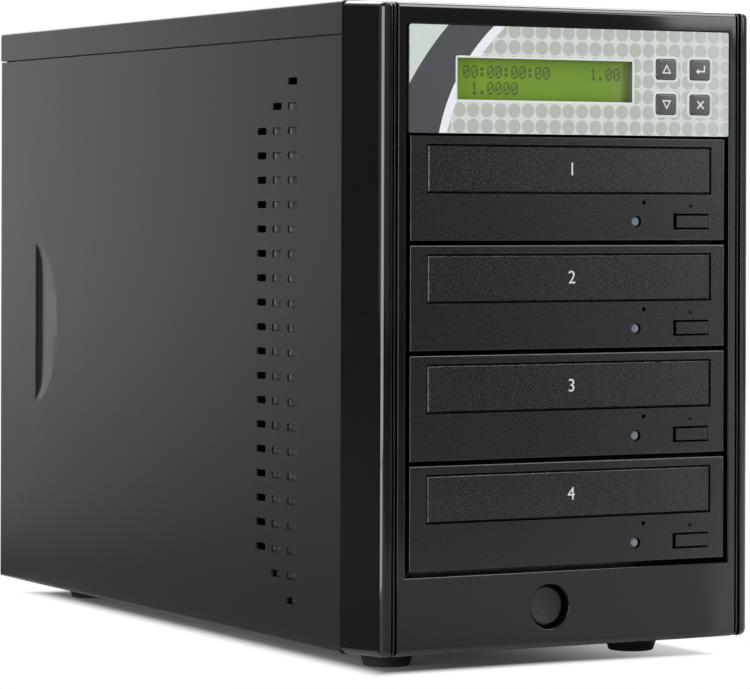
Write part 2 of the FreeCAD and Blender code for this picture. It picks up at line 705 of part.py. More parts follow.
def base_tray():
    """Folded steel floor with upturned sides and the holes for the foot screws."""
    floor = box(
        -STRUCTURE_HALF, STRUCTURE_HALF, BEZEL_BACK, REAR_OUTER, TRAY_UNDERSIDE, TRAY_FLOOR
    )
    side = box(
        -STRUCTURE_HALF,
        -STRUCTURE_HALF + SHEET,
        PLATE_BACK + SLIDE_GAP,
        REAR_INNER - PLATE_FLANGE - SLIDE_GAP,
        TRAY_UNDERSIDE,
        TRAY_FLOOR + TRAY_FLANGE - SLIDE_GAP,
    )
    holes = [
        rod(SCREW_HOLE_RADIUS, Vector(x, y, TRAY_UNDERSIDE), Z, SHEET) for x, y in foot_places()
    ]
    return joined([floor] + both_sides(side)).cut(holes)


def carrier_screw_place():
    return SHELL_FRONT + DRIVE_SCREW_SETBACK, PANEL_BOTTOM + CARRIER_SCREW_RISE


def bay_screw_places():
    """Where screws pass through the cage walls into the drives and the control panel."""
    return drive_screw_places() + [carrier_screw_place()]


def drive_screw_places():
    places = []
    for number in DRIVES:
        for i in range(2):
            y = SHELL_FRONT + DRIVE_SCREW_SETBACK + DRIVE_SCREW_SPACING * i
            places.append((y, shell_bottom(number) + DRIVE_SCREW_RISE))
    return places


def cage_wall():
    """Left wall of the drive cage, flanged outwards to the plate, the floor and the cover."""
    wall = box(
        -CAGE_OUTER, -CAGE_INNER, PLATE_BACK, PLATE_BACK + CAGE_LENGTH, TRAY_FLOOR, COVER_UNDERSIDE
    )
    outer = -CAGE_OUTER - CAGE_FLANGE + SHEET
    front = box(outer, -CAGE_INNER, PLATE_BACK, PLATE_BACK + SHEET, TRAY_FLOOR, COVER_UNDERSIDE)
    floor = box(
        outer, -CAGE_INNER, PLATE_BACK, PLATE_BACK + CAGE_LENGTH, TRAY_FLOOR, TRAY_FLOOR + SHEET
    )
    roof = box(
        outer,
        -CAGE_INNER,
        PLATE_BACK,
        PLATE_BACK + CAGE_LENGTH,
        COVER_UNDERSIDE - SHEET,
        COVER_UNDERSIDE,
    )
    holes = [
        rod(SCREW_HOLE_RADIUS, Vector(-CAGE_OUTER, y, z), X, SHEET) for y, z in bay_screw_places()
    ]
    for height in clip_heights():
        holes.append(
            box(
                -CHEEK_INNER - CLIP_BARB - SLIDE_GAP,
                -clip_x() + SLIDE_GAP,
                PLATE_BACK,
                PLATE_BACK + CLIP_REACH + SLIDE_GAP,
                height - CLIP_WIDTH / 2 - SLIDE_GAP,
                height + CLIP_WIDTH / 2 + SLIDE_GAP,
            )
        )
    return joined([wall, front, floor, roof]).cut(holes)


def top_cover():
    """Folded cover: roof, two skirts over the side panels and a lip over the rear panel."""
    cover = box(-HALF_WIDTH, HALF_WIDTH, BODY_FRONT, CASE_BACK, SEAM_TOP, CASE_TOP)
    bends = [e for e in edges_along(cover, "y") if e.BoundBox.ZMin > CASE_TOP - NEAR]
    cover = cover.makeFillet(BEND_RADIUS, bends)
    rear = [e for e in edges_at(cover, y=CASE_BACK) if e.BoundBox.ZMax > CASE_TOP - BEND_RADIUS - NEAR]
    rear = [e for e in rear if e.BoundBox.ZMin > SEAM_TOP + NEAR]
    cover = cover.makeFillet(SOFT_EDGE, rear)
    inside = box(
        -PANEL_INNER, PANEL_INNER, BODY_FRONT, CASE_BACK - SHEET, SEAM_TOP, COVER_UNDERSIDE
    )
    return cover.cut(inside)


def vent_slots():
    """Slots in three columns, each column one row shorter at both ends than the one before."""
    pattern = rounded_box(
        -HALF_WIDTH,
        -PANEL_INNER,
        -VENT_LENGTH / 2,
        VENT_LENGTH / 2,
        -VENT_HEIGHT / 2,
        VENT_HEIGHT / 2,
        VENT_RADIUS,
        "x",
    )
    slots = []
    for column in range(VENT_COLUMNS):
        rows = VENT_ROWS - 2 * column
        y = BEZEL_BACK + VENT_SETBACK + VENT_PITCH_Y * column
        for row in range(rows):
            z = PANEL_MIDDLE + VENT_PITCH_Z * (row - (rows - 1) / 2)
            slots.append(pattern.translated(Vector(0, y, z)))
    return slots


def pull_outline(x, rear, length, height):
    """D shape in a plane across X: a straight rear edge closed by half an ellipse."""
    middle = Vector(x, rear, PANEL_MIDDLE)
    top = middle + Z * (height / 2)
    bottom = middle - Z * (height / 2)
    ellipse = Part.Ellipse(top, middle - Y * length, middle)
    bow = Part.ArcOfEllipse(ellipse, 0, math.pi).toShape()
    return Part.Wire([bow, Part.LineSegment(bottom, top).toShape()])


def pull_form(surface, depth, grow):
    """The pressed form of the finger pull, from the panel's surface to its floor."""
    rear = CASE_BACK - PULL_REAR_MARGIN + grow
    mouth = pull_outline(surface, rear, PULL_LENGTH + 2 * grow, PULL_HEIGHT + 2 * grow)
    floor = pull_outline(
        surface + depth,
        rear - PULL_WALL_DRAFT,
        PULL_FLOOR_LENGTH + 2 * grow,
        PULL_FLOOR_HEIGHT + 2 * grow,
    )
    return Part.makeLoft([mouth, floor], True, True)


def thumb_heights():
    return [CASE_BOTTOM + THUMB_END_MARGIN, SEAM_BOTTOM - THUMB_END_MARGIN]


def side_panel():
    """Left side panel: hem below, tongue behind the cover's skirt and a flange at the rear."""
    skin = box(-HALF_WIDTH, -PANEL_INNER, BODY_FRONT, CASE_BACK, CASE_BOTTOM, SEAM_BOTTOM)
    hem = box(
        -HALF_WIDTH, -HALF_WIDTH + PANEL_HEM, BODY_FRONT, CASE_BACK, CASE_BOTTOM, CASE_BOTTOM + SHEET
    )
    flange = box(
        -HALF_WIDTH, -HALF_WIDTH + REAR_FLANGE, CASE_BACK - SHEET, CASE_BACK, CASE_BOTTOM, SEAM_BOTTOM
    )
    panel = joined([skin, hem, flange])
    bends = edges_at(panel, x=-HALF_WIDTH, z=CASE_BOTTOM) + edges_at(panel, x=-HALF_WIDTH, y=CASE_BACK)
    panel = panel.makeFillet(BEND_RADIUS, bends)
    tongue_outer = -PANEL_INNER + SLIDE_GAP
    tongue_back = CASE_BACK - SHEET - SLIDE_GAP - PANEL_SLIDE
    step = box(
        -PANEL_INNER - SHEET / 2,
        tongue_outer + SHEET,
        BODY_FRONT,
        tongue_back,
        SEAM_BOTTOM - SHEET,
        SEAM_BOTTOM,
    )
    tongue = box(
        tongue_outer,
        tongue_outer + SHEET,
        BODY_FRONT,
        tongue_back,
        SEAM_BOTTOM - SHEET,
        SEAM_BOTTOM + PANEL_TONGUE,
    )
    dish = pull_form(-HALF_WIDTH + SHEET / 2, PULL_DEPTH + SHEET / 2, SHEET)
    holes = [
        rod(THUMB_HOLE_RADIUS, Vector(-THUMB_X, CASE_BACK - SHEET, z), Y, SHEET)
        for z in thumb_heights()
    ]
    pocket = pull_form(-HALF_WIDTH, PULL_DEPTH, 0)
    return joined([panel, step, tongue, dish]).cut([pocket] + vent_slots() + holes)


def thumbscrews():
    """Captive thumbscrews of the left side panel, with grips round the head."""
    screws = []
    for height in thumb_heights():
        centre = Vector(-THUMB_X, CASE_BACK, height)
        head = rod(THUMB_HEAD_RADIUS, centre, Y, THUMB_HEAD_HEIGHT)
        head = head.makeFillet(SOFT_EDGE, edges_at(head, y=CASE_BACK + THUMB_HEAD_HEIGHT))
        grips = []
        for i in range(THUMB_GRIPS):
            turn = 2 * math.pi * i / THUMB_GRIPS
            place = centre + X * (THUMB_HEAD_RADIUS * math.cos(turn))
            place = place + Z * (THUMB_HEAD_RADIUS * math.sin(turn))
            grips.append(rod(THUMB_GRIP_RADIUS, place, Y, THUMB_HEAD_HEIGHT))
        shank = rod(THUMB_SHANK_RADIUS, centre - Y * THUMB_LENGTH, Y, THUMB_LENGTH)
        screws.append(joined([head.cut(grips), shank]))
    return screws


def foot_places():
    side = HALF_WIDTH - FOOT_SIDE_MARGIN
    ends = (FACE_Y + FOOT_END_MARGIN, CASE_BACK - FOOT_END_MARGIN)
    return [(x, y) for y in ends for x in (-side, side)]


def feet():
    """Tapered rubber feet, each with a counterbore for its screw."""
    taper = Part.makeCone(FOOT_BOTTOM_RADIUS, FOOT_TOP_RADIUS, TRAY_UNDERSIDE)
    taper = taper.makeFillet(FOOT_EDGE_RADIUS, edges_at(taper, z=0))
    recess = rod(FOOT_RECESS_RADIUS, ORIGIN, Z, FOOT_RECESS_DEPTH)
    hole = rod(SCREW_HOLE_RADIUS, ORIGIN, Z, TRAY_UNDERSIDE)
    foot = taper.cut([recess, hole])
    return [foot.translated(Vector(x, y, 0)) for x, y in foot_places()]


def screw(seat, direction):
    """Pan-head screw: its head sits on the seat and its shank goes along the direction."""
    head = rod(SCREW_HEAD_RADIUS, seat, direction * -1, SCREW_HEAD_HEIGHT)
    shank = rod(SCREW_RADIUS, seat, direction, SCREW_LENGTH)
    return joined([head, shank])


def supply_screw_places():
    """Corners of the power supply's rear face."""
    inset = SUPPLY_LIP + SUPPLY_WALL
    sides = (-SUPPLY_WIDTH / 2 + inset, SUPPLY_WIDTH / 2 - inset)
    return [(x, z) for x in sides for z in (TRAY_FLOOR + inset, SUPPLY_TOP - inset)]


def fan_screw_places():
    half = FAN_HOLE_SPACING / 2
    return [(x, EXHAUST_Z + z) for x in (-half, half) for z in (-half, half)]


def chassis_screws():
    screws = [screw(Vector(x, y, FOOT_RECESS_DEPTH), Z) for x, y in foot_places()]
    for x, z in supply_screw_places() + fan_screw_places():
        screws.append(screw(Vector(x, REAR_OUTER, z), Y * -1))
    for y, z in bay_screw_places():
        screws.append(screw(Vector(-CAGE_OUTER, y, z), X))
        screws.append(screw(Vector(CAGE_OUTER, y, z), X * -1))
    return screws


def grille_slots(x, z, y0, y1):
    """Concentric slots of a stamped fan grille, left standing at its spokes."""
    rings = []
    for i in range(GRILLE_RINGS):
        inner = GRILLE_CENTRE_RADIUS + GRILLE_RING_PITCH * i
        outer = inner + GRILLE_RING_PITCH - GRILLE_BAR
        centre = Vector(x, y0, z)
        rings.append(rod(outer, centre, Y, y1 - y0).cut(rod(inner, centre, Y, y1 - y0)))
    reach = GRILLE_CENTRE_RADIUS + GRILLE_RING_PITCH * GRILLE_RINGS
    spoke = box(-reach, reach, y0, y1, -GRILLE_SPOKE / 2, GRILLE_SPOKE / 2)
    spokes = []
    for i in range(GRILLE_SPOKES):
        bar = spoke.copy()
        bar.rotate(ORIGIN, Y, (i + 1 / 2) * 180 / GRILLE_SPOKES)
        spokes.append(bar.translated(Vector(x, 0, z)))
    return [ring.cut(spokes) for ring in rings]


def rear_panel():
    """Rear sheet with the power supply's cut-out, the fan grille and side flanges."""
    sheet = box(
        -STRUCTURE_HALF, STRUCTURE_HALF, REAR_INNER, REAR_OUTER, TRAY_FLOOR, COVER_UNDERSIDE
    )
    flange = box(
        -STRUCTURE_HALF,
        -STRUCTURE_HALF + SHEET,
        REAR_INNER - PLATE_FLANGE,
        REAR_OUTER,
        TRAY_FLOOR + TRAY_FLANGE,
        SEAM_BOTTOM - SHEET - SLIDE_GAP,
    )
    inset = 2 * SUPPLY_LIP
    cutout = box(
        -SUPPLY_WIDTH / 2 + inset,
        SUPPLY_WIDTH / 2 - inset,
        REAR_INNER,
        REAR_OUTER,
        TRAY_FLOOR + inset,
        SUPPLY_TOP - inset,
    )
    cuts = [cutout] + grille_slots(0, EXHAUST_Z, REAR_INNER, REAR_OUTER)
    for x, z in supply_screw_places() + fan_screw_places():
        cuts.append(rod(SCREW_HOLE_RADIUS, Vector(x, REAR_INNER, z), Y, SHEET))
    for side in (-THUMB_X, THUMB_X):
        for z in thumb_heights():
            cuts.append(rod(THUMB_HOLE_RADIUS, Vector(side, REAR_INNER, z), Y, SHEET))
    return joined([sheet] + both_sides(flange)).cut(cuts)


def power_supply_case():
    """Steel case of the power supply, with its fan grille and the inlet's cut-out."""
    half = SUPPLY_WIDTH / 2
    case = box(-half, half, SUPPLY_FRONT, REAR_INNER, TRAY_FLOOR, SUPPLY_TOP)
    inside = box(
        -half + SUPPLY_WALL,
        half - SUPPLY_WALL,
        SUPPLY_FRONT + SUPPLY_WALL,
        REAR_INNER - SUPPLY_WALL,
        TRAY_FLOOR + SUPPLY_WALL,
        SUPPLY_TOP - SUPPLY_WALL,
    )
    cutout = inlet_body(REAR_INNER - SUPPLY_WALL, REAR_INNER)
    cuts = [inside, cutout]
    cuts += grille_slots(SUPPLY_FAN_X, SUPPLY_MIDDLE, REAR_INNER - SUPPLY_WALL, REAR_INNER)
    for x, z in supply_screw_places():
        cuts.append(rod(SCREW_HOLE_RADIUS, Vector(x, REAR_INNER - SUPPLY_WALL, z), Y, SUPPLY_WALL))
    for i in DRIVES:
        exit_hole = Vector(power_exit_x(i), SUPPLY_FRONT, TRAY_FLOOR + POWER_EXIT_RISE)
        cuts.append(rod(POWER_CABLE_RADIUS, exit_hole, Y, SUPPLY_WALL))
    return case.cut(cuts)


def inlet_body(y0, y1):
    half_width = INLET_WIDTH / 2 - INLET_BODY_MARGIN
    half_height = INLET_HEIGHT / 2 - INLET_BODY_MARGIN
    return box(
        INLET_X - half_width,
        INLET_X + half_width,
        y0,
        y1,
        SUPPLY_MIDDLE - half_height,
        SUPPLY_MIDDLE + half_height,
    )


def rocker_axis():
    return Vector(INLET_X, INLET_FACE - ROCKER_AXIS_DEPTH, SUPPLY_MIDDLE + ROCKER_RISE)


def power_inlet():
    """Moulded mains inlet: three blades in a socket, and above it the well of the rocker."""
    flange = rounded_box(
        INLET_X - INLET_WIDTH / 2,
        INLET_X + INLET_WIDTH / 2,
        REAR_INNER,
        INLET_FACE,
        SUPPLY_MIDDLE - INLET_HEIGHT / 2,
        SUPPLY_MIDDLE + INLET_HEIGHT / 2,
        INLET_BODY_MARGIN,
        "y",
    )
    body = inlet_body(INLET_FACE - INLET_BODY_DEPTH, REAR_INNER)
    socket_z = SUPPLY_MIDDLE - SOCKET_DROP
    socket = box(
        INLET_X - SOCKET_WIDTH / 2,
        INLET_X + SOCKET_WIDTH / 2,
        INLET_FACE - SOCKET_DEPTH,
        INLET_FACE,
        socket_z - SOCKET_HEIGHT / 2,
        socket_z + SOCKET_HEIGHT / 2,
    )
    upper = [e for e in edges_along(socket, "y") if e.BoundBox.ZMin > socket_z]
    socket = socket.makeChamfer(SOCKET_CHAMFER, upper)
    axis = rocker_axis()
    well = box(
        INLET_X - ROCKER_WIDTH / 2 - ROCKER_GAP,
        INLET_X + ROCKER_WIDTH / 2 + ROCKER_GAP,
        INLET_FACE - ROCKER_WELL_DEPTH,
        INLET_FACE,
        axis.z - ROCKER_WELL_HEIGHT / 2,
        axis.z + ROCKER_WELL_HEIGHT / 2,
    )
    half_pin = ROCKER_WIDTH / 2 + ROCKER_PIN_LENGTH + ROCKER_GAP
    bearing = rod(ROCKER_PIN_RADIUS + RUNNING_CLEARANCE, axis - X * half_pin, X, 2 * half_pin)
    blades = []
    for x, z in ((-PIN_SPREAD, 0), (0, PIN_STEP), (PIN_SPREAD, 0)):
        middle_z = socket_z - PIN_STEP / 2 + z
        blades.append(
            box(
                INLET_X + x - PIN_WIDTH / 2,
                INLET_X + x + PIN_WIDTH / 2,
                INLET_FACE - SOCKET_DEPTH - INLET_FLANGE,
                INLET_FACE - SOCKET_DEPTH + PIN_LENGTH,
                middle_z - PIN_HEIGHT / 2,
                middle_z + PIN_HEIGHT / 2,
            )
        )
    return joined([joined([flange, body]).cut([socket, well, bearing])] + blades)


def power_rocker():
    """Rocker with a dished crown and a pivot pin, tipped to its on side."""
    axis = rocker_axis()
    left = axis.x - ROCKER_WIDTH / 2
    half = ROCKER_HEIGHT / 2
    end_high = Vector(left, axis.y + ROCKER_CROWN, axis.z + half)
    end_low = Vector(left, axis.y + ROCKER_CROWN, axis.z - half)
    dip = Vector(left, axis.y + ROCKER_CROWN - ROCKER_DIP, axis.z)
    keel_low = Vector(left, axis.y - ROCKER_KEEL, axis.z - ROCKER_KEEL_HEIGHT / 2)
    keel_high = Vector(left, axis.y - ROCKER_KEEL, axis.z + ROCKER_KEEL_HEIGHT / 2)
    outline = Part.Wire(
        [
            Part.Arc(end_high, dip, end_low).toShape(),
            Part.LineSegment(end_low, keel_low).toShape(),
            Part.LineSegment(keel_low, keel_high).toShape(),
            Part.LineSegment(keel_high, end_high).toShape(),
        ]
    )
    body = Part.Face(outline).extrude(X * ROCKER_WIDTH)
    half_pin = ROCKER_WIDTH / 2 + ROCKER_PIN_LENGTH
    pin = rod(ROCKER_PIN_RADIUS, axis - X * half_pin, X, 2 * half_pin)
    rocker = joined([body, pin])
    rocker.rotate(axis, X, ROCKER_TILT)
    return rocker


def fan_frame(x, z, back):
    """Square fan frame: two flanges on a round duct, struts and the motor plate."""
    half = FAN_SIZE / 2
    front = back - FAN_DEPTH
    flanges = []
    for y in (front, back - FAN_FLANGE):
        flanges.append(
            rounded_box(x - half, x + half, y, y + FAN_FLANGE, z - half, z + half, FAN_CORNER_RADIUS, "y")
        )
    duct = rod(half, Vector(x, front, z), Y, FAN_DEPTH)
    frame = joined(flanges + [duct]).cut(rod(FAN_BORE_RADIUS, Vector(x, front, z), Y, FAN_DEPTH))
    plate = rod(FAN_HUB_RADIUS, Vector(x, back - FAN_MOTOR_PLATE, z), Y, FAN_MOTOR_PLATE)
    reach = FAN_BORE_RADIUS + FAN_DUCT_WALL / 2
    strut = box(
        -reach, reach, back - FAN_MOTOR_PLATE, back, -FAN_STRUT_WIDTH / 2, FAN_STRUT_WIDTH / 2
    )
    upright = strut.copy()
    upright.rotate(ORIGIN, Y, 90)
    place = Vector(x, 0, z)
    frame = joined([frame, plate, strut.translated(place), upright.translated(place)])
    shaft_radius = FAN_SHAFT_RADIUS + RUNNING_CLEARANCE
    holes = [rod(shaft_radius, Vector(x, back - FAN_MOTOR_PLATE, z), Y, FAN_MOTOR_PLATE)]
    offset = FAN_HOLE_SPACING / 2
    for dx in (-offset, offset):
        for dz in (-offset, offset):
            holes.append(rod(SCREW_HOLE_RADIUS, Vector(x + dx, front, z + dz), Y, FAN_DEPTH))
    return frame.cut(holes)


def blade_section(radius, chord, pitch, middle):
    """Thin section of a fan blade across its radius, turned to its pitch."""
    along = Y * math.cos(math.radians(pitch)) + Z * math.sin(math.radians(pitch))
    across = Y * -math.sin(math.radians(pitch)) + Z * math.cos(math.radians(pitch))
    centre = X * radius + Y * middle
    half = along * (chord / 2)
    thick = across * (FAN_BLADE_THICKNESS / 2)
    corners = [centre - half - thick, centre + half - thick, centre + half + thick]
    corners.append(centre - half + thick)
    return Part.makePolygon(corners + [corners[0]])


def fan_rotor(x, z, back):
    """Fan rotor: a cup over the motor with twisted blades, and the shaft in the motor plate."""
    rear = back - FAN_MOTOR_PLATE - FAN_AXIAL_GAP
    front = back - FAN_DEPTH + FAN_AXIAL_GAP
    cup = rod(FAN_HUB_RADIUS, Vector(0, front, 0), Y, rear - front)
    bore = rod(
        FAN_HUB_RADIUS - FAN_HUB_WALL, Vector(0, front + FAN_HUB_WALL, 0), Y, rear - front
    )
    shaft = rod(FAN_SHAFT_RADIUS, Vector(0, front, 0), Y, back - FAN_AXIAL_GAP - front)
    middle = (front + rear) / 2
    root_radius = FAN_HUB_RADIUS - FAN_HUB_WALL / 2
    root = blade_section(root_radius, FAN_ROOT_CHORD, FAN_ROOT_PITCH, middle)
    tip_half = FAN_TIP_CHORD / 2 * math.sin(math.radians(FAN_TIP_PITCH))
    tip_radius = math.sqrt((FAN_BORE_RADIUS - FAN_TIP_GAP) ** 2 - tip_half ** 2)
    tip = blade_section(tip_radius, FAN_TIP_CHORD, FAN_TIP_PITCH, middle)
    blade = Part.makeLoft([root, tip], True, True)
    blades = []
    for i in range(FAN_BLADES):
        copy = blade.copy()
        copy.rotate(ORIGIN, Y, 360 * i / FAN_BLADES)
        blades.append(copy)
    return joined([cup.cut(bore), shaft] + blades).translated(Vector(x, 0, z))


def key_places():
    """Middle of each key's face: up and down at the left, enter and escape at the right."""
    low = PANEL_BOTTOM + KEY_LOW_RISE
    high = low + KEY_PITCH_Z
    return {
        "key_up": (KEY_LEFT_X, high),
        "key_down": (KEY_LEFT_X, low),
        "key_enter": (KEY_RIGHT_X, high),
        "key_escape": (KEY_RIGHT_X, low),
    }


def key_block(x, z, grow, y0, y1):
    half_width = KEY_WIDTH / 2 + grow
    half_height = KEY_HEIGHT / 2 + grow
    return rounded_box(
        x - half_width, x + half_width, y0, y1, z - half_height, z + half_height, KEY_RADIUS, "y"
    )


def screen_block(grow, y0, y1):
    """A block on the display's outline, grown on all sides."""
    middle = PANEL_BOTTOM + SCREEN_RISE
    half_width = SCREEN_WIDTH / 2 + grow
    half_height = SCREEN_HEIGHT / 2 + grow
    return box(
        SCREEN_CENTRE_X - half_width,
        SCREEN_CENTRE_X + half_width,
        y0,
        y1,
        middle - half_height,
        middle + half_height,
    )


def control_key(x, z):
    """Key cap with a flange behind the panel's wall."""
    front = FILM_FRONT - KEY_PROUD
    cap = key_block(x, z, -KEY_GAP, front, CARRIER_BACK + KEY_GAP)
    cap = cap.makeFillet(SOFT_EDGE, edges_at(cap, y=front))
    flange = key_block(
        x, z, KEY_FLANGE_WIDTH, CARRIER_BACK + KEY_GAP, CARRIER_BACK + KEY_GAP + KEY_FLANGE
    )
    return joined([cap, flange])


def panel_film():
    """Printed film on the control panel, cut out for the display and the keys."""
    film = rounded_box(
        -PANEL_WIDTH / 2,
        PANEL_WIDTH / 2,
        FILM_FRONT,
        CARRIER_FRONT,
        PANEL_BOTTOM,
        PANEL_TOP,
        PANEL_CORNER_RADIUS,
        "y",
    )
    cuts = [screen_block(0, FILM_FRONT, CARRIER_FRONT)]
    for x, z in key_places().values():
        cuts.append(key_block(x, z, 0, FILM_FRONT, CARRIER_FRONT))
    return film.cut(cuts)


def control_panel():
    """Moulded carrier of the top bay: front wall, side arms and the shelf of the board."""
    wall = rounded_box(
        -PANEL_WIDTH / 2,
        PANEL_WIDTH / 2,
        CARRIER_FRONT,
        CARRIER_BACK,
        PANEL_BOTTOM,
        PANEL_TOP,
        PANEL_CORNER_RADIUS,
        "y",
    )
    inset = (FACE_HEIGHT - SHELL_HEIGHT) / 2
    arm = box(
        -CARRIER_HALF,
        -CARRIER_HALF + CARRIER_WALL,
        CARRIER_FRONT + PANEL_WALL / 2,
        CARRIER_FRONT + CARRIER_LENGTH,
        PANEL_BOTTOM + inset,
        PANEL_TOP - inset,
    )
    shelf = box(
        -CARRIER_HALF,
        -CARRIER_HALF + CARRIER_WALL + CARRIER_SHELF,
        CARRIER_BACK + CONTROLLER_SETBACK,
        CARRIER_FRONT + CARRIER_LENGTH,
        PANEL_BOTTOM + CARRIER_SHELF_RISE,
        CONTROLLER_FLOOR,
    )
    ear_z = PANEL_BOTTOM + BOARD_EDGE_MARGIN
    ear = box(
        -DISPLAY_BOARD_HALF + BOARD_LAP,
        -CARRIER_HALF + CARRIER_WALL / 2,
        CARRIER_BACK,
        display_board_front(),
        ear_z,
        ear_z + DISPLAY_BOARD_HEIGHT,
    )
    carrier = joined([wall] + both_sides(arm) + both_sides(shelf) + both_sides(ear))
    y, z = carrier_screw_place()
    cuts = [screen_block(0, CARRIER_FRONT, CARRIER_BACK)]
    cuts.append(rod(SCREW_HOLE_RADIUS, Vector(-CARRIER_HALF, y, z), X, 2 * CARRIER_HALF))
    for x, z in key_places().values():
        cuts.append(key_block(x, z, 0, CARRIER_FRONT, CARRIER_BACK))
        cuts.append(
            key_block(x, z, KEY_FLANGE_WIDTH + KEY_GAP, CARRIER_BACK, display_board_front())
        )
    return carrier.cut(cuts)


def display_board_front():
    return CARRIER_BACK + GLASS_THICKNESS + BACKLIGHT_DEPTH


def lcd_screen():
    """Glass of the display, against the back of the panel's wall."""
    return screen_block(GLASS_MARGIN, CARRIER_BACK, CARRIER_BACK + GLASS_THICKNESS)


def display_board():
    """Circuit board with the display's backlight and the switches under the keys."""
    front = display_board_front()
    middle = PANEL_BOTTOM + PANEL_HEIGHT / 2
    board = box(
        -DISPLAY_BOARD_HALF,
        DISPLAY_BOARD_HALF,
        front,
        front + BOARD_THICKNESS,
        middle - DISPLAY_BOARD_HEIGHT / 2,
        middle + DISPLAY_BOARD_HEIGHT / 2,
    )
    pieces = [board, screen_block(BACKLIGHT_MARGIN, CARRIER_BACK + GLASS_THICKNESS, front)]
    stem_tip = CARRIER_BACK + 2 * KEY_GAP + KEY_FLANGE + KEY_TRAVEL
    half = TACT_SIZE / 2
    for x, z in key_places().values():
        pieces.append(box(x - half, x + half, front - TACT_HEIGHT, front, z - half, z + half))
        pieces.append(rod(TACT_STEM_RADIUS, Vector(x, stem_tip, z), Y, front - stem_tip))
    return joined(pieces)


def data_port_x(number):
    return DATA_PLUG_X - CABLE_PITCH * (number - 1)


def controller_back():
    return CARRIER_BACK + CONTROLLER_SETBACK + CONTROLLER_LENGTH


def controller_board():
    """Copying controller: a board with its processor and one data port for each drive."""
    half_width = CARRIER_HALF - CARRIER_WALL - SLIDE_GAP
    front = CARRIER_BACK + CONTROLLER_SETBACK
    top = CONTROLLER_FLOOR + BOARD_THICKNESS
    board = box(-half_width, half_width, front, controller_back(), CONTROLLER_FLOOR, top)
    middle = (front + controller_back()) / 2
    chip = box(
        -CHIP_SIZE / 2,
        CHIP_SIZE / 2,
        middle - CHIP_SIZE / 2,
        middle + CHIP_SIZE / 2,
        top,
        top + CHIP_HEIGHT,
    )
    ports = []
    for number in DRIVES:
        x = data_port_x(number)
        ports.append(
            box(
                x - PORT_WIDTH / 2,
                x + PORT_WIDTH / 2,
                controller_back() - PORT_LENGTH,
                controller_back(),
                top,
                top + PORT_HEIGHT,
            )
        )
    return joined([board, chip] + ports)


def door_window(number, grow, y0, y1):
    """A block on the outline of the tray door's window in a drive face."""
    top = drive_top(number) - DOOR_WINDOW_DROP
    half = DOOR_WINDOW_WIDTH / 2 + grow
    return box(
        DOOR_WINDOW_OFFSET - half,
        DOOR_WINDOW_OFFSET + half,
        y0,
        y1,
        top - DOOR_WINDOW_HEIGHT - grow,
        top + grow,
    )


def drive_face(number):
    """Moulded drive face with windows for the tray door, the flap and the light."""
    bottom = drive_bottom(number)
    top = drive_top(number)
    half = FACE_WIDTH / 2
    face = box(-half, half, FACE_Y, SHELL_FRONT, bottom, top)
    face = face.makeFillet(FACE_EDGE_RADIUS, edges_at(face, y=FACE_Y))
    hollow = box(
        -half + FACE_RIM,
        half - FACE_RIM,
        FACE_Y + FACE_WALL,
        SHELL_FRONT,
        bottom + FACE_RIM,
        top - FACE_RIM,
    )
    flap = box(
        FLAP_WINDOW_LEFT,
        FLAP_WINDOW_RIGHT,
        FACE_Y,
        SHELL_FRONT,
        top - FLAP_WINDOW_DROP - FLAP_WINDOW_HEIGHT,
        top - FLAP_WINDOW_DROP,
    )
    light = Vector(LIGHT_X, FACE_Y, top - LIGHT_DROP)
    pinhole = Vector(PINHOLE_X, FACE_Y, top - PINHOLE_DROP)
    cuts = [hollow, door_window(number, 0, FACE_Y, SHELL_FRONT), flap]
    cuts.append(rod(LIGHT_HOLE_RADIUS, light, Y, FACE_DEPTH))
    cuts.append(rod(PINHOLE_RADIUS, pinhole, Y, FACE_DEPTH))
    return face.cut(cuts)


def flap_axis(number):
    middle = drive_top(number) - FLAP_WINDOW_DROP - FLAP_WINDOW_HEIGHT / 2
    x = FLAP_WINDOW_RIGHT - FLAP_HINGE_GAP - FLAP_THICKNESS / 2
    return Vector(x, FACE_Y + FLAP_THICKNESS / 2, middle)


def eject_flap(number):
    """Eject flap that swings in about its rounded right end."""
    axis = flap_axis(number)
    height = FLAP_WINDOW_HEIGHT - 2 * FLAP_SLOT
    low = axis.z - height / 2
    plate = box(
        FLAP_WINDOW_LEFT + FLAP_FREE_GAP, axis.x, FACE_Y, FACE_Y + FLAP_THICKNESS, low, low + height
    )
    knuckle = rod(FLAP_THICKNESS / 2, Vector(axis.x, axis.y, low), Z, height)
    return joined([plate, knuckle])


def drive_light(number):
    """Light pipe of a drive, held by a flange behind the face."""
    start = Vector(LIGHT_X, FACE_Y + LIGHT_RECESS, drive_top(number) - LIGHT_DROP)
    pipe = rod(LIGHT_RADIUS, start, Y, LIGHT_LENGTH)
    pipe = pipe.makeFillet(SOFT_EDGE, edges_at(pipe, y=start.y))
    seat = Vector(start.x, FACE_Y + FACE_WALL, start.z)
    return joined([pipe, rod(LIGHT_FLANGE_RADIUS, seat, Y, LIGHT_FLANGE)])


def tray_door(number):
    """Bevelled door on the front of a disc tray."""
    door = door_window(number, -DOOR_GAP, FACE_Y, TRAY_FRONT)
    return door.makeChamfer(DOOR_BEVEL, edges_at(door, y=FACE_Y))


def tray_top(number):
    return drive_top(number) - TRAY_DROP


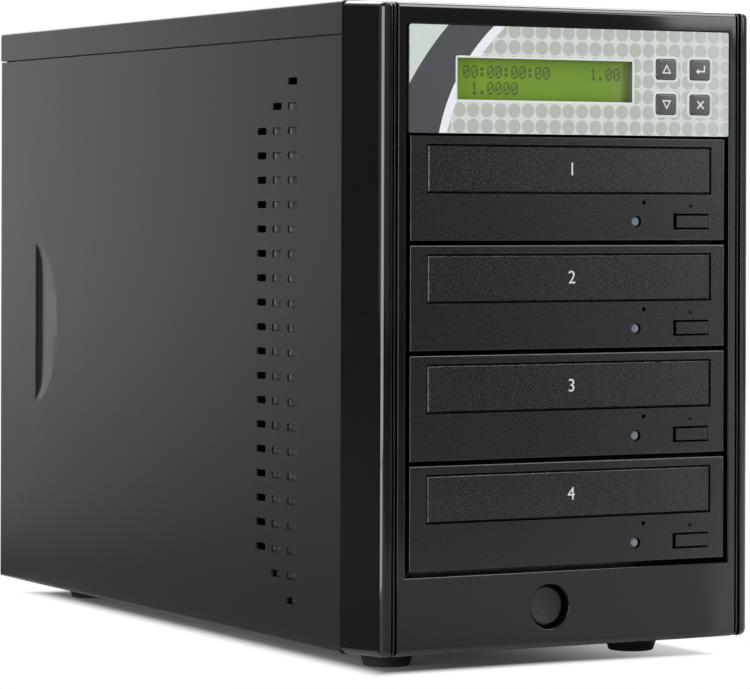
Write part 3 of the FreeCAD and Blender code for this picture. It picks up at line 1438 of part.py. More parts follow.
def disc_tray(number):
    """Disc tray with pockets for both disc sizes, the spindle slot and finger notches."""
    top = tray_top(number)
    bottom = top - TRAY_THICKNESS
    half = TRAY_WIDTH / 2
    back = TRAY_FRONT + TRAY_LENGTH
    plate = box(-half, half, TRAY_FRONT, back, bottom, top)
    corners = [e for e in edges_along(plate, "z") if e.BoundBox.YMax > back - NEAR]
    plate = plate.makeFillet(TRAY_CORNER_RADIUS, corners)
    bar = door_window(number, -DOOR_GAP - TRAY_BAR_INSET, TRAY_FRONT, TRAY_FRONT + TRAY_BAR)
    bar = bar.cut(box(-HALF_WIDTH, HALF_WIDTH, TRAY_FRONT, back, bottom - TRAY_THICKNESS, bottom))
    tray = joined([plate, bar])
    centre = Vector(0, DISC_CENTRE_Y, top)
    wide = rod(DISC_POCKET_RADIUS, centre, Z * -1, DISC_POCKET_DEPTH)
    narrow = rod(SMALL_POCKET_RADIUS, centre, Z * -1, DISC_POCKET_DEPTH + SMALL_POCKET_DEPTH)
    slot_half = TRAY_SLOT_WIDTH / 2
    hole = rod(slot_half, centre, Z * -1, TRAY_THICKNESS)
    slot = box(-slot_half, slot_half, DISC_CENTRE_Y, back - TRAY_SLOT_REAR_BAR, bottom, top)
    notches = []
    for side in (-half, half):
        notches.append(rod(FINGER_NOTCH_RADIUS, Vector(side, DISC_CENTRE_Y, bottom), Z, TRAY_THICKNESS))
    return tray.cut([wide, narrow, hole, slot] + notches)


def hub_top(number):
    """Tip of the turntable, just below the tray."""
    return tray_top(number) - TRAY_THICKNESS - 2 * SLIDE_GAP


def deck_top(number):
    table_bottom = hub_top(number) - HUB_HEIGHT - TURNTABLE_THICKNESS
    return table_bottom - SLIDE_GAP - MOTOR_HEIGHT


def turntable(number):
    """Turntable with a tapered hub, on the spindle of its motor."""
    table = hub_top(number) - HUB_HEIGHT
    centre = Vector(0, DISC_CENTRE_Y, table)
    disc = rod(TURNTABLE_RADIUS, centre, Z * -1, TURNTABLE_THICKNESS)
    hub = Part.makeCone(HUB_RADIUS, HUB_TIP_RADIUS, HUB_HEIGHT, centre, Z)
    spindle = rod(SPINDLE_RADIUS, centre, Z * -1, TURNTABLE_THICKNESS + SPINDLE_LENGTH)
    return joined([disc, hub, spindle])


def rail(number):
    """Left guide rail of a disc tray: a wall, a shelf below the tray and a foot on the deck."""
    base = deck_top(number)
    shelf = tray_top(number) - TRAY_THICKNESS - SLIDE_GAP
    inner = -TRAY_WIDTH / 2 - SLIDE_GAP
    outer = inner - RAIL_WALL
    lip = tray_top(number) - TRAY_THICKNESS + RAIL_LIP
    corners = [(outer, base), (inner, base), (inner, shelf - RAIL_WALL)]
    corners += [(inner + RAIL_SHELF, shelf - RAIL_WALL), (inner + RAIL_SHELF, shelf)]
    corners += [(inner, shelf), (inner, lip), (outer, lip)]
    return prism([Vector(x, DECK_FRONT, z) for x, z in corners], Y * DECK_LENGTH)


def mechanism(number):
    """Deck of a drive with its tray rails, motor and sled rods, and the laser sled."""
    top = deck_top(number)
    half = SHELL_WIDTH / 2 - SHELL_WALL
    back = DECK_FRONT + DECK_LENGTH
    plate = box(-half, half, DECK_FRONT, back, top - DECK_THICKNESS, top)
    centre = Vector(0, DISC_CENTRE_Y, top)
    motor = rod(MOTOR_RADIUS, centre, Z, MOTOR_HEIGHT)
    window_front = DISC_CENTRE_Y + MOTOR_RADIUS
    window_back = window_front + SLED_WINDOW_LENGTH
    window = box(
        -SLED_WINDOW_WIDTH / 2,
        SLED_WINDOW_WIDTH / 2,
        window_front,
        window_back,
        top - DECK_THICKNESS,
        top,
    )
    rods = []
    holes = []
    rod_z = top - DECK_THICKNESS / 2
    for x in (-GUIDE_ROD_SPREAD, GUIDE_ROD_SPREAD):
        overlap = Y * DECK_THICKNESS
        start = Vector(x, window_front, rod_z) - overlap
        rods.append(rod(GUIDE_ROD_RADIUS, start, Y, SLED_WINDOW_LENGTH + 2 * DECK_THICKNESS))
        holes.append(
            rod(
                GUIDE_ROD_RADIUS + RUNNING_CLEARANCE,
                Vector(x, window_front, rod_z),
                Y,
                SLED_WINDOW_LENGTH,
            )
        )
    bearing = rod(
        SPINDLE_RADIUS + RUNNING_CLEARANCE,
        centre - Z * DECK_THICKNESS,
        Z,
        MOTOR_HEIGHT + DECK_THICKNESS,
    )
    guides = both_sides(rail(number))
    deck = joined([joined([plate, motor] + guides).cut([window, bearing])] + rods)
    sled_front = (window_front + window_back - SLED_LENGTH) / 2
    sled = box(
        -SLED_WIDTH / 2,
        SLED_WIDTH / 2,
        sled_front,
        sled_front + SLED_LENGTH,
        rod_z - SLED_HEIGHT / 2,
        rod_z + SLED_HEIGHT / 2,
    )
    lens_seat = Vector(0, sled_front + SLED_LENGTH / 2, rod_z + SLED_HEIGHT / 2)
    sled = joined([sled, rod(LENS_RADIUS, lens_seat, Z, LENS_HEIGHT)]).cut(holes)
    return [deck, sled]


def plug_middle(number):
    return shell_bottom(number) + PLUG_WINDOW_RISE + PLUG_WINDOW_HEIGHT / 2


def drive_shell(number):
    """Folded steel case of a drive, open at the front, with a window for the plugs."""
    bottom = shell_bottom(number)
    top = bottom + SHELL_HEIGHT
    half = SHELL_WIDTH / 2
    case = box(-half, half, SHELL_FRONT, SHELL_BACK, bottom, top)
    inside = box(
        -half + SHELL_WALL,
        half - SHELL_WALL,
        SHELL_FRONT,
        SHELL_BACK - SHELL_WALL,
        bottom + SHELL_WALL,
        top - SHELL_WALL,
    )
    middle = plug_middle(number)
    plugs = box(
        -PLUG_WINDOW_WIDTH / 2,
        PLUG_WINDOW_WIDTH / 2,
        SHELL_BACK - SHELL_WALL,
        SHELL_BACK,
        middle - PLUG_WINDOW_HEIGHT / 2,
        middle + PLUG_WINDOW_HEIGHT / 2,
    )
    holes = []
    for y, z in drive_screw_places():
        if bottom < z < top:
            holes.append(rod(SCREW_HOLE_RADIUS, Vector(-half, y, z), X, SHELL_WIDTH))
    return case.cut([inside, plugs] + holes)


def cable(points, radius):
    """A cable along straight runs joined by tangent arcs."""
    edges = []
    start = points[0]
    for before, corner, after in zip(points, points[1:], points[2:]):
        back = (before - corner).normalize()
        ahead = (after - corner).normalize()
        half_turn = math.acos(max(-1, min(1, back.dot(ahead)))) / 2
        reach = CABLE_BEND_RADIUS / math.tan(half_turn)
        bisector = (back + ahead).normalize()
        centre = corner + bisector * (CABLE_BEND_RADIUS / math.sin(half_turn))
        first = corner + back * reach
        last = corner + ahead * reach
        middle = centre - bisector * CABLE_BEND_RADIUS
        edges.append(Part.LineSegment(start, first).toShape())
        edges.append(Part.Arc(first, middle, last).toShape())
        start = last
    edges.append(Part.LineSegment(start, points[-1]).toShape())
    path = Part.Wire(edges)
    direction = (points[1] - points[0]).normalize()
    section = Part.Wire([Part.makeCircle(radius, points[0], direction)])
    return path.makePipeShell([section], True, False)


def power_exit_x(number):
    return POWER_PLUG_X + CABLE_PITCH * (number - 1)


def wiring():
    """Data cables from the controller and power cables from the supply to each drive."""
    cables = []
    port_z = CONTROLLER_FLOOR + BOARD_THICKNESS + PORT_HEIGHT / 2
    for number in DRIVES:
        plug_z = plug_middle(number)
        drop = SHELL_BACK + DATA_DROP_SETBACK + CABLE_PITCH * (number - 1)
        port_x = data_port_x(number)
        route = [
            Vector(port_x, controller_back(), port_z),
            Vector(port_x, drop, port_z),
            Vector(port_x, drop, plug_z),
            Vector(port_x, SHELL_BACK - SHELL_WALL, plug_z),
        ]
        cables.append(cable(route, DATA_CABLE_RADIUS))
        rise = SUPPLY_FRONT - POWER_DROP_SETBACK - CABLE_PITCH * (DRIVE_COUNT - number) / 2
        exit_x = power_exit_x(number)
        exit_z = TRAY_FLOOR + POWER_EXIT_RISE
        route = [
            Vector(exit_x, SUPPLY_FRONT, exit_z),
            Vector(exit_x, rise, exit_z),
            Vector(exit_x, rise, plug_z),
            Vector(exit_x, SHELL_BACK - SHELL_WALL, plug_z),
        ]
        cables.append(cable(route, POWER_CABLE_RADIUS))
    return cables


def build():
    """Every sub-part by its node's name. A list is a group of separate solids."""
    nodes = {
        "base_tray": base_tray(),
        "front_plate": front_plate(),
        "rear_panel": rear_panel(),
        "top_cover": top_cover(),
        "left_cage_wall": cage_wall(),
        "right_cage_wall": mirrored(cage_wall()),
        "left_side_panel": side_panel(),
        "right_side_panel": mirrored(side_panel()),
        "left_thumbscrews": thumbscrews(),
        "right_thumbscrews": [mirrored(s) for s in thumbscrews()],
        "left_cheek": front_cheek(),
        "right_cheek": mirrored(front_cheek()),
        "front_frame": front_frame(),
        "power_button": power_button(),
        "power_switch": power_switch(),
        "feet": feet(),
        "chassis_screws": chassis_screws(),
        "power_supply_case": power_supply_case(),
        "supply_fan_frame": fan_frame(SUPPLY_FAN_X, SUPPLY_MIDDLE, REAR_INNER - SUPPLY_WALL),
        "supply_fan_rotor": fan_rotor(SUPPLY_FAN_X, SUPPLY_MIDDLE, REAR_INNER - SUPPLY_WALL),
        "power_inlet": power_inlet(),
        "power_rocker": power_rocker(),
        "exhaust_fan_frame": fan_frame(0, EXHAUST_Z, REAR_INNER),
        "exhaust_fan_rotor": fan_rotor(0, EXHAUST_Z, REAR_INNER),
        "control_panel": control_panel(),
        "panel_film": panel_film(),
        "lcd_screen": lcd_screen(),
        "display_board": display_board(),
        "controller_board": controller_board(),
        "drive_lights": [drive_light(n) for n in DRIVES],
        "drive_mechanisms": [solid for n in DRIVES for solid in mechanism(n)],
        "wiring": wiring(),
    }
    for name, (x, z) in key_places().items():
        nodes[name] = control_key(x, z)
    for n in DRIVES:
        nodes["drive_%d_shell" % n] = drive_shell(n)
        nodes["drive_%d_face" % n] = drive_face(n)
        nodes["drive_%d_tray" % n] = disc_tray(n)
        nodes["drive_%d_door" % n] = tray_door(n)
        nodes["drive_%d_eject_flap" % n] = eject_flap(n)
        nodes["drive_%d_turntable" % n] = turntable(n)
    return nodes


os.makedirs("parts", exist_ok=True)
for node_name, shape in build().items():
    solid = Part.makeCompound(shape) if isinstance(shape, list) else shape
    solid.exportStep("parts/%s.step" % node_name)
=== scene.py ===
import json
import math

import bmesh
import bpy
from mathutils import Matrix, Vector

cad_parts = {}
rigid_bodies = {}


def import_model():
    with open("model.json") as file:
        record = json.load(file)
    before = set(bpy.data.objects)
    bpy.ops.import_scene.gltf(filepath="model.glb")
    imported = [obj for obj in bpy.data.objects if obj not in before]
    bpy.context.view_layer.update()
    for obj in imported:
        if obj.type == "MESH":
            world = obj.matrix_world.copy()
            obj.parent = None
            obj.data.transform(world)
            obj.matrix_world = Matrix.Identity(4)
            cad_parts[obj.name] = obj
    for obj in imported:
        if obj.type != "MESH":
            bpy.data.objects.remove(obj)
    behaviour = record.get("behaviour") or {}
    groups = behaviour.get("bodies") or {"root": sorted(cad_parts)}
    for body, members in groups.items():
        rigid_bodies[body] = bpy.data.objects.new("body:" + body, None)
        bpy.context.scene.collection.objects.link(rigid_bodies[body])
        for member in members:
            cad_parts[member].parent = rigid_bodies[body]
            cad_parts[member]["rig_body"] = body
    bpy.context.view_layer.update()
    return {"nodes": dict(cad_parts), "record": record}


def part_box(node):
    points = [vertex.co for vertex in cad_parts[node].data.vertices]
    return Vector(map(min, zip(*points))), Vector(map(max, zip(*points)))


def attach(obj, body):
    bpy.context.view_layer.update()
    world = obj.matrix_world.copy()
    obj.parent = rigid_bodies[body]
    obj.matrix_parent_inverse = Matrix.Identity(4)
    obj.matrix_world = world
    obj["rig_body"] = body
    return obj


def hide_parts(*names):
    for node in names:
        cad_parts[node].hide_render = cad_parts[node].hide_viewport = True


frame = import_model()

nodes = frame["nodes"]

# Chassis: base tray, front plate, rear panel and the two walls of the drive cage. Folded
# from zinc-plated steel sheet, screwed and riveted together and left unpainted.


class Wire:
    """One socket of a node tree, so that shading reads as plain formulas on values."""

    def __init__(self, tree, socket=None):
        self.tree = tree
        self.socket = socket

    def add(self, kind, settings, sockets, output=0):
        node = self.tree.nodes.new(kind)
        for name, value in settings.items():
            setattr(node, name, value)
        for name, value in sockets.items():
            if isinstance(value, Wire):
                self.tree.links.new(value.socket, node.inputs[name])
            else:
                node.inputs[name].default_value = value
        return Wire(self.tree, node.outputs[output])

    def beside(self, output):
        """Another output of the node that this socket belongs to."""
        return Wire(self.tree, self.socket.node.outputs[output])

    def maths(self, operation, first, second=0.0):
        return self.add("ShaderNodeMath", {"operation": operation}, {0: first, 1: second})

    def __add__(self, other):
        return self.maths("ADD", self, other)

    def __sub__(self, other):
        return self.maths("SUBTRACT", self, other)

    def __rsub__(self, other):
        return self.maths("SUBTRACT", other, self)

    def __mul__(self, other):
        return self.maths("MULTIPLY", self, other)

    def __truediv__(self, other):
        return self.maths("DIVIDE", self, other)

    def __pow__(self, other):
        return self.maths("POWER", self, other)

    def __abs__(self):
        return self.maths("ABSOLUTE", self)

    __radd__ = __add__
    __rmul__ = __mul__

    def least(self, other):
        return self.maths("MINIMUM", self, other)

    def most(self, other):
        return self.maths("MAXIMUM", self, other)

    def fades(self, start, end):
        """0 before start and 1 after end, or the other way round where start is larger."""
        sockets = {"Value": self, "From Min": start, "From Max": end}
        return self.add("ShaderNodeMapRange", {"interpolation_type": "SMOOTHSTEP"}, sockets)

    def repeats(self, pitch):
        """The distance from the nearest of a row of marks at a pitch, one of them at 0."""
        return self - self.maths("ROUND", self / pitch) * pitch

    def tints(self, first, second):
        """A colour that goes from the first to the second as this value goes from 0 to 1."""
        settings = {"data_type": "RGBA"}
        return self.add("ShaderNodeMix", settings, {0: self, 6: first, 7: second}, 2)

    def noise(self, grain, detail=2.0):
        """Cloudy noise from 0 to 1 on these coordinates, with patches of a size in metres."""
        return self.add(
            "ShaderNodeTexNoise", {}, {"Vector": self, "Scale": 1 / grain, "Detail": detail}
        )

    def relief(self, depth, strength=1.0):
        """The normal of a surface whose height is this value times a depth in metres."""
        sockets = {"Height": self, "Distance": depth, "Strength": strength}
        return self.add("ShaderNodeBump", {}, sockets)


def tone(*shades):
    """A colour as a screen shows it, red, green and blue up to 255, as a material takes it."""
    light = [((v / 255 + 0.055) / 1.055) ** 2.4 if v > 10 else v / 255 / 12.92 for v in shades]
    return (*light, 1.0)


def finish(name, constants):
    """A new material with its constant values, and the coordinates of the piece in metres."""
    material = bpy.data.materials.new(name)
    material.use_nodes = True
    shader = material.node_tree.nodes["Principled BSDF"]
    for socket, value in constants.items():
        shader.inputs[socket].default_value = value
    place = Wire(material.node_tree).add("ShaderNodeTexCoord", {}, {}, "Object")
    return material, place


def feed(material, sockets):
    """Links what varies over the surface to the material's shader."""
    shader = material.node_tree.nodes["Principled BSDF"]
    for name, wire in sockets.items():
        material.node_tree.links.new(wire.socket, shader.inputs[name])
    return material


def axes(place, unit=0.001):
    """The three coordinates, in millimetres or in another unit that is given in metres."""
    x = place.add("ShaderNodeSeparateXYZ", {}, {0: place}, "X")
    return x / unit, x.beside("Y") / unit, x.beside("Z") / unit


def dress(material, *names):
    """Gives CAD nodes a material."""
    for name in names:
        nodes[name].data.materials.clear()
        nodes[name].data.materials.append(material)


def zinc_plate():
    material, place = finish("zinc_plate", {"Metallic": 1.0})
    patches_per_metre = 130.0
    sockets = {"Vector": place, "Scale": patches_per_metre}
    cell = place.add("ShaderNodeTexVoronoi", {}, sockets, "Color")
    shade = cell.add("ShaderNodeSeparateColor", {}, {0: cell}) * 0.6 + place.noise(0.004) * 0.4
    feed(material, {
        "Base Color": shade.tints(tone(184, 187, 189), tone(204, 206, 208)),
        "Roughness": shade * 0.05 + 0.33,
        "Normal": place.noise(0.0011).relief(0.00002, 0.4),
    })
    return material


steel = zinc_plate()
dress(steel, "base_tray", "front_plate", "rear_panel", "left_cage_wall", "right_cage_wall")

# Feet: four tapered rubber feet under the base tray, moulded in black and screwed on through
# their counterbores. They scuff a little where they stand.


def slot_of(node):
    """The material slot that the record gives a CAD node."""
    return next(p["material_slot"] for p in frame["record"]["subparts"] if p["node"] == node)


def finish_piece(mesh, name, body, slot, material, *replaced):
    """An object at the origin for a finished mesh, riding on its body."""
    mesh.materials.clear()
    mesh.materials.append(material)
    piece = bpy.data.objects.new(name, mesh)
    bpy.context.scene.collection.objects.link(piece)
    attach(piece, body)
    if replaced:
        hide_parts(*replaced)
    return piece


def plain_mesh(shaped):
    """The evaluated mesh of an object, which is then removed."""
    graph = bpy.context.evaluated_depsgraph_get()
    mesh = bpy.data.meshes.new_from_object(shaped.evaluated_get(graph), depsgraph=graph)
    mesh.name = shaped.name
    bpy.data.objects.remove(shaped)
    return mesh


def smooth_mesh(name, node, crease=28):
    """A copy of a CAD node's mesh, merged and softly shaded up to a crease in degrees."""
    source = nodes[node].data
    mesh = bpy.data.meshes.new(name)
    mesh.from_pydata([v.co for v in source.vertices], [], [p.vertices[:] for p in source.polygons])
    form = bmesh.new()
    form.from_mesh(mesh)
    bmesh.ops.remove_doubles(form, verts=form.verts, dist=1e-6)
    bmesh.ops.dissolve_degenerate(form, edges=form.edges, dist=1e-7)
    for face in form.faces:
        face.smooth = True
    for edge in form.edges:
        edge.smooth = len(edge.link_faces) == 2 and edge.calc_face_angle() < math.radians(crease)
    form.to_mesh(mesh)
    form.free()
    shaped = bpy.data.objects.new(name, mesh)
    bpy.context.scene.collection.objects.link(shaped)
    soften = shaped.modifiers.new("even_normals", "WEIGHTED_NORMAL")
    soften.keep_sharp = True
    soften.weight = 80
    return plain_mesh(shaped)


def smooth_piece(node, material):
    """A softly shaded copy that stands for a CAD node."""
    name = "%s_surface" % node
    body = nodes[node]["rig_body"]
    return finish_piece(smooth_mesh(name, node), name, body, slot_of(node), material, node)


def foot_rubber():
    material, place = finish("foot_rubber", {"Roughness": 0.8})
    x, y, z = axes(place)
    scuff_height = 2.5
    scuff = z.fades(scuff_height, 0.0) * place.noise(0.002).fades(0.4, 0.7)
    feed(material, {
        "Base Color": scuff.tints(tone(19, 19, 19), tone(58, 57, 55)),
        "Roughness": place.noise(0.001) * 0.2 + 0.65,
        "Normal": place.noise(0.0006).relief(0.00004, 0.5),
    })
    return material


smooth_piece("feet", foot_rubber())

# Power supply: a zinc-plated box screwed to the rear panel. The mains inlet and its rocker
# are black mouldings that snap into it; the inlet's three blades are nickel-plated brass.


def middle_of(node):
    """The middle of a CAD node, across and up, in millimetres."""
    low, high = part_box(node)
    return (low.x + high.x) * 500, (low.z + high.z) * 500


def inlet_moulding():
    """Black plastic; the three blades in the socket are told apart by their places."""
    material, place = finish("inlet_moulding", {})
    x, y, z = axes(place)
    middle = middle_of("power_inlet")[0]
    socket_depth, soft = 16.9, 0.02
    floor_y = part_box("power_inlet")[1].y * 1000 - socket_depth
    pitch, half_thickness, blade_top, blade_bottom = 7.0, 1.02, 43.1, 33.4
    across = (abs(abs(x - middle) - pitch)).least(abs(x - middle))
    blade = across.fades(half_thickness + soft, half_thickness) * y.fades(floor_y, floor_y + soft)
    blade = blade * z.fades(blade_top + 0.1, blade_top) * z.fades(blade_bottom - 0.1, blade_bottom)
    speckle = place.noise(0.0007)
    feed(material, {
        "Base Color": blade.tints(tone(26, 26, 27), tone(196, 188, 170)),
        "Metallic": blade,
        "Roughness": speckle * 0.15 + 0.42 - blade * 0.25,
        "Normal": speckle.relief(0.00002, 0.4),
    })
    return material


def rocker_moulding():
    """Gloss rocker with a printed bar at its upper end and a ring at its lower end."""
    material, place = finish("rocker_moulding", {})
    x, y, z = axes(place)
    middle_x, middle_z = middle_of("power_rocker")
    mark_rise, bar_half, ring_radius, line, soft = 4.9, 1.7, 1.5, 0.3, 0.05
    face_start, face_end = 186.7, 186.9
    dx = x - middle_x
    up = z - (middle_z + mark_rise)
    down = z - (middle_z - mark_rise)
    bar = abs(dx).fades(line + soft, line) * abs(up).fades(bar_half + soft, bar_half)
    ring = abs((dx ** 2 + down ** 2) ** 0.5 - ring_radius).fades(line + soft, line)
    face = y.fades(face_start, face_end)
    feed(material, {
        "Base Color": ((bar + ring) * face).tints(tone(22, 22, 23), tone(226, 226, 224)),
        "Roughness": place.noise(0.003) * 0.12 + 0.22,
        "Normal": place.noise(0.0008).relief(0.00001, 0.3),
    })
    return material


dress(steel, "power_supply_case")
smooth_piece("power_inlet", inlet_moulding())
smooth_piece("power_rocker", rocker_moulding())

# Fans: two 80 mm fans, one in the power supply and one on the rear panel. Frames and rotors
# are moulded in black; the rotors turn on their shafts in the frames' motor plates.


def fan_plastic(name, shade, gloss):
    material, place = finish(name, {})
    flow = place.noise(0.012, 3.0)
    feed(material, {
        "Base Color": flow.tints(tone(shade, shade, shade + 1), tone(shade + 9, shade + 9, shade + 10)),
        "Roughness": place.noise(0.0009) * 0.16 + gloss,
        "Normal": place.noise(0.0009).relief(0.00003, 0.4),
    })
    return material


frame_plastic = fan_plastic("fan_frame_plastic", 27, 0.46)
rotor_plastic = fan_plastic("fan_rotor_plastic", 22, 0.34)
for fan in ("supply", "exhaust"):
    smooth_piece("%s_fan_frame" % fan, frame_plastic)
    smooth_piece("%s_fan_rotor" % fan, rotor_plastic)

# Disc drives: four half-height drives, each a zinc-plated folded case around a moulded deck
# with tray rails, a spindle motor and a laser sled on two steel rods.


def deck_plastic():
    """Dark grey deck; the guide rods and the lens on the sled are told apart by their places."""
    material, place = finish("deck_plastic", {})
    x, y, z = axes(place)
    rod_x, rod_half, lens_radius, soft = 11.0, 1.25, 2.7, 0.05
    window_front, window_back = -109.2, -57.0
    on_rod = abs(abs(x) - rod_x).fades(rod_half + soft, rod_half)
    on_rod = on_rod * y.fades(window_front, window_front + 0.1) * y.fades(window_back, window_back - 0.1)
    sled_middle = (window_front + window_back) / 2
    from_middle = (x ** 2 + (y - sled_middle) ** 2) ** 0.5
    lens = from_middle.fades(lens_radius + soft, lens_radius - soft)
    grain = place.noise(0.0012)
    base = on_rod.tints(tone(62, 63, 65), tone(190, 190, 192))
    feed(material, {
        "Base Color": lens.tints(base, tone(70, 84, 120)),
        "Metallic": on_rod * (1 - lens),
        "Roughness": grain * 0.2 + 0.4 - lens * 0.35 - on_rod * 0.2,
        "Normal": grain.relief(0.00003, 0.4),
    })
    return material


def turntable_plastic():
    """White moulded turntable with a rubber ring for the disc."""
    material, place = finish("turntable_plastic", {})
    x, y, z = axes(place)
    low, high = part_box("drive_1_turntable")
    spindle_y = (low.y + high.y) / 2 * 1000
    ring_inside, ring_outside, soft = 9.45, 13.25, 0.05
    radius = (x ** 2 + (y - spindle_y) ** 2) ** 0.5
    ring = radius.fades(ring_inside - soft, ring_inside + soft)
    ring = ring * radius.fades(ring_outside + soft, ring_outside - soft)
    feed(material, {
        "Base Color": ring.tints(tone(196, 196, 192), tone(34, 34, 34)),
        "Roughness": ring * 0.4 + place.noise(0.002) * 0.1 + 0.35,
        "Normal": place.noise(0.0008).relief(0.00003, 0.3),
    })
    return material


deck = deck_plastic()
spindle_plastic = turntable_plastic()
smooth_piece("drive_mechanisms", deck)
for number in range(1, 5):
    dress(steel, "drive_%d_shell" % number)
    smooth_piece("drive_%d_turntable" % number, spindle_plastic)

# Disc trays, drive faces, tray doors and eject flaps: black mouldings. The doors have a
# deeper sparked grain than the faces around them, and each carries its drive's number.


def grained_black(name, shade, grain, depth, gloss):
    """Black with sparked pits of a grain and depth in metres; gloss is its least roughness."""
    material, place = finish(name, {})
    pits = place.noise(grain, 2.0)
    flow = place.noise(0.03)
    light = tone(shade * 2, shade * 2, shade * 2 + 1)
    feed(material, {
        "Base Color": (pits.fades(0.34, 0.66) * 0.85 + flow * 0.15).tints(tone(3, 3, 4), light),
        "Roughness": pits * 0.14 + gloss,
        "Normal": pits.relief(depth, 0.8),
    })
    return material


def numeral_mesh(text, height):
    """A printed numeral, upright and facing the front, centred on the origin."""
    curve = bpy.data.curves.new("numeral", "FONT")
    curve.body = text
    figure_share = 0.7
    curve.size = height / figure_share
    curve.align_x = "CENTER"
    curve.align_y = "CENTER"
    written = bpy.data.objects.new("numeral", curve)
    bpy.context.scene.collection.objects.link(written)
    mesh = plain_mesh(written)
    mesh.transform(Matrix.Rotation(math.pi / 2, 4, "X"))
    return mesh


def print_ink():
    material, place = finish("print_ink", {})
    wear = place.noise(0.0007).fades(0.25, 0.6)
    feed(material, {
        "Base Color": wear.tints(tone(186, 186, 188), tone(222, 222, 223)),
        "Roughness": wear * 0.1 + 0.5,
    })
    return material


def eject_marks():
    """A small flat triangle above each eject flap, on its drive's face, that stands for a mark pressed
    into it; its dark colour is painted shade.
    """
    form = bmesh.new()
    width, height, proud, setback_x, drop = 1.9, 1.5, 0.02, 16.7, 27.6
    for number in range(1, 5):
        low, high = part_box("drive_%d_face" % number)
        middle = Vector((high.x - setback_x / 1000, low.y - proud / 1000, high.z - drop / 1000))
        corners = ((-width / 2, -height / 2), (width / 2, -height / 2), (0, height / 2))
        form.faces.new([form.verts.new(middle + Vector((x / 1000, 0, z / 1000))) for x, z in corners])
    mesh = bpy.data.meshes.new("eject_marks")
    form.to_mesh(mesh)
    form.free()
    return mesh


def pressed_black():
    """Painted shade for a mark that is pressed into a face: near black, without any gloss."""
    material, place = finish("pressed_black", {"Specular IOR Level": 0.0})
    feed(material, {
        "Base Color": place.noise(0.0004).tints(tone(6, 6, 6), tone(12, 12, 12)),
        "Roughness": place.noise(0.0004) * 0.2 + 0.7,
    })
    return material


def hinge_web(number):
    """The thin web on which an eject flap bends, between its rounded end and the face."""
    low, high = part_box("drive_%d_eject_flap" % number)
    reach_in, reach_out, dip, thickness = 0.00098, 0.00028, 0.00004, 0.00035
    start, end = high.x - reach_in, high.x + reach_out
    outline = [(start, 0), ((start + end) / 2, dip), (end, 0), (end, thickness), (start, thickness)]
    form = bmesh.new()
    rings = [[form.verts.new((x, low.y + y, z)) for x, y in outline] for z in (low.z, high.z)]
    form.faces.new(rings[0][::-1])
    form.faces.new(rings[1])
    for i in range(len(outline)):
        j = (i + 1) % len(outline)
        form.faces.new((rings[0][i], rings[0][j], rings[1][j], rings[1][i]))
    bmesh.ops.recalc_face_normals(form, faces=form.faces)
    mesh = bpy.data.meshes.new("drive_%d_flap_web" % number)
    form.to_mesh(mesh)
    form.free()
    return mesh


face_grain = grained_black("face_grain", 13, 0.00082, 0.00006, 0.15)
door_grain = grained_black("door_grain", 20, 0.00071, 0.00007, 0.12)
tray_black = grained_black("tray_black", 30, 0.0007, 0.00003, 0.5)
ink = print_ink()
numeral_height, numeral_proud = 0.0052, 0.00002
for number in range(1, 5):
    smooth_piece("drive_%d_face" % number, face_grain)
    smooth_piece("drive_%d_eject_flap" % number, face_grain)
    web = "drive_%d_flap_web" % number
    finish_piece(hinge_web(number), web, "eject_%d" % number, "satin_black", face_grain)
    smooth_piece("drive_%d_tray" % number, tray_black)
    dress(door_grain, "drive_%d_door" % number)
    low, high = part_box("drive_%d_door" % number)
    mesh = numeral_mesh(str(number), numeral_height)
    middle = (low + high) / 2
    mesh.transform(Matrix.Translation((middle.x, low.y - numeral_proud, middle.z)))
    finish_piece(mesh, "drive_%d_numeral" % number, "tray_%d" % number, "film", ink)
finish_piece(eject_marks(), "eject_marks", "chassis", "satin_black", pressed_black())

# Drive lights: short clear rods that carry the light of each drive's lamp to its face. They are
# moulded in acrylic with a slight blue-grey tint.


def light_pipe():
    material, place = finish("light_pipe", {"Coat Weight": 0.4})
    feed(material, {
        "Base Color": place.noise(0.0015).tints(tone(106, 116, 127), tone(140, 149, 158)),
        "Roughness": place.noise(0.0008) * 0.1 + 0.15,
    })
    return material


smooth_piece("drive_lights", light_pipe())

# Boards and wiring: the copying controller on the panel's shelf, the display board behind the
# panel, the data and power cables of the drives, and the switch behind the round button.


def circuit_board(name, bottom_axis, board_low, board_high):
    """Green lacquer with tracks; what stands off the board is dark moulded plastic."""
    material, place = finish(name, {})
    level, soft = axes(place)[bottom_axis], 0.02
    off_board = 1 - level.fades(board_low - soft, board_low) * level.fades(board_high + soft, board_high)
    tracks_per_metre, pads_per_metre = 260.0, 420.0
    tracks = place.add(
        "ShaderNodeTexBrick",
        {"offset": 0.35},
        {"Vector": place, "Scale": tracks_per_metre, "Mortar Size": 0.09, "Color1": (0, 0, 0, 1),
         "Color2": (0.2, 0.2, 0.2, 1), "Mortar": (1, 1, 1, 1)},
        "Fac",
    )
    cells = place.add("ShaderNodeTexVoronoi", {}, {"Vector": place, "Scale": pads_per_metre})
    pads = cells.fades(0.16, 0.12)
    lacquer = tracks.tints(tone(24, 84, 50), tone(36, 110, 66))
    board = pads.tints(lacquer, tone(206, 196, 150))
    feed(material, {
        "Base Color": off_board.tints(board, tone(30, 30, 32)),
        "Metallic": pads * (1 - off_board) * 0.8,
        "Roughness": off_board * 0.2 + place.noise(0.002) * 0.15 + 0.25,
        "Normal": tracks.relief(0.00003, 0.5),
    })
    return material


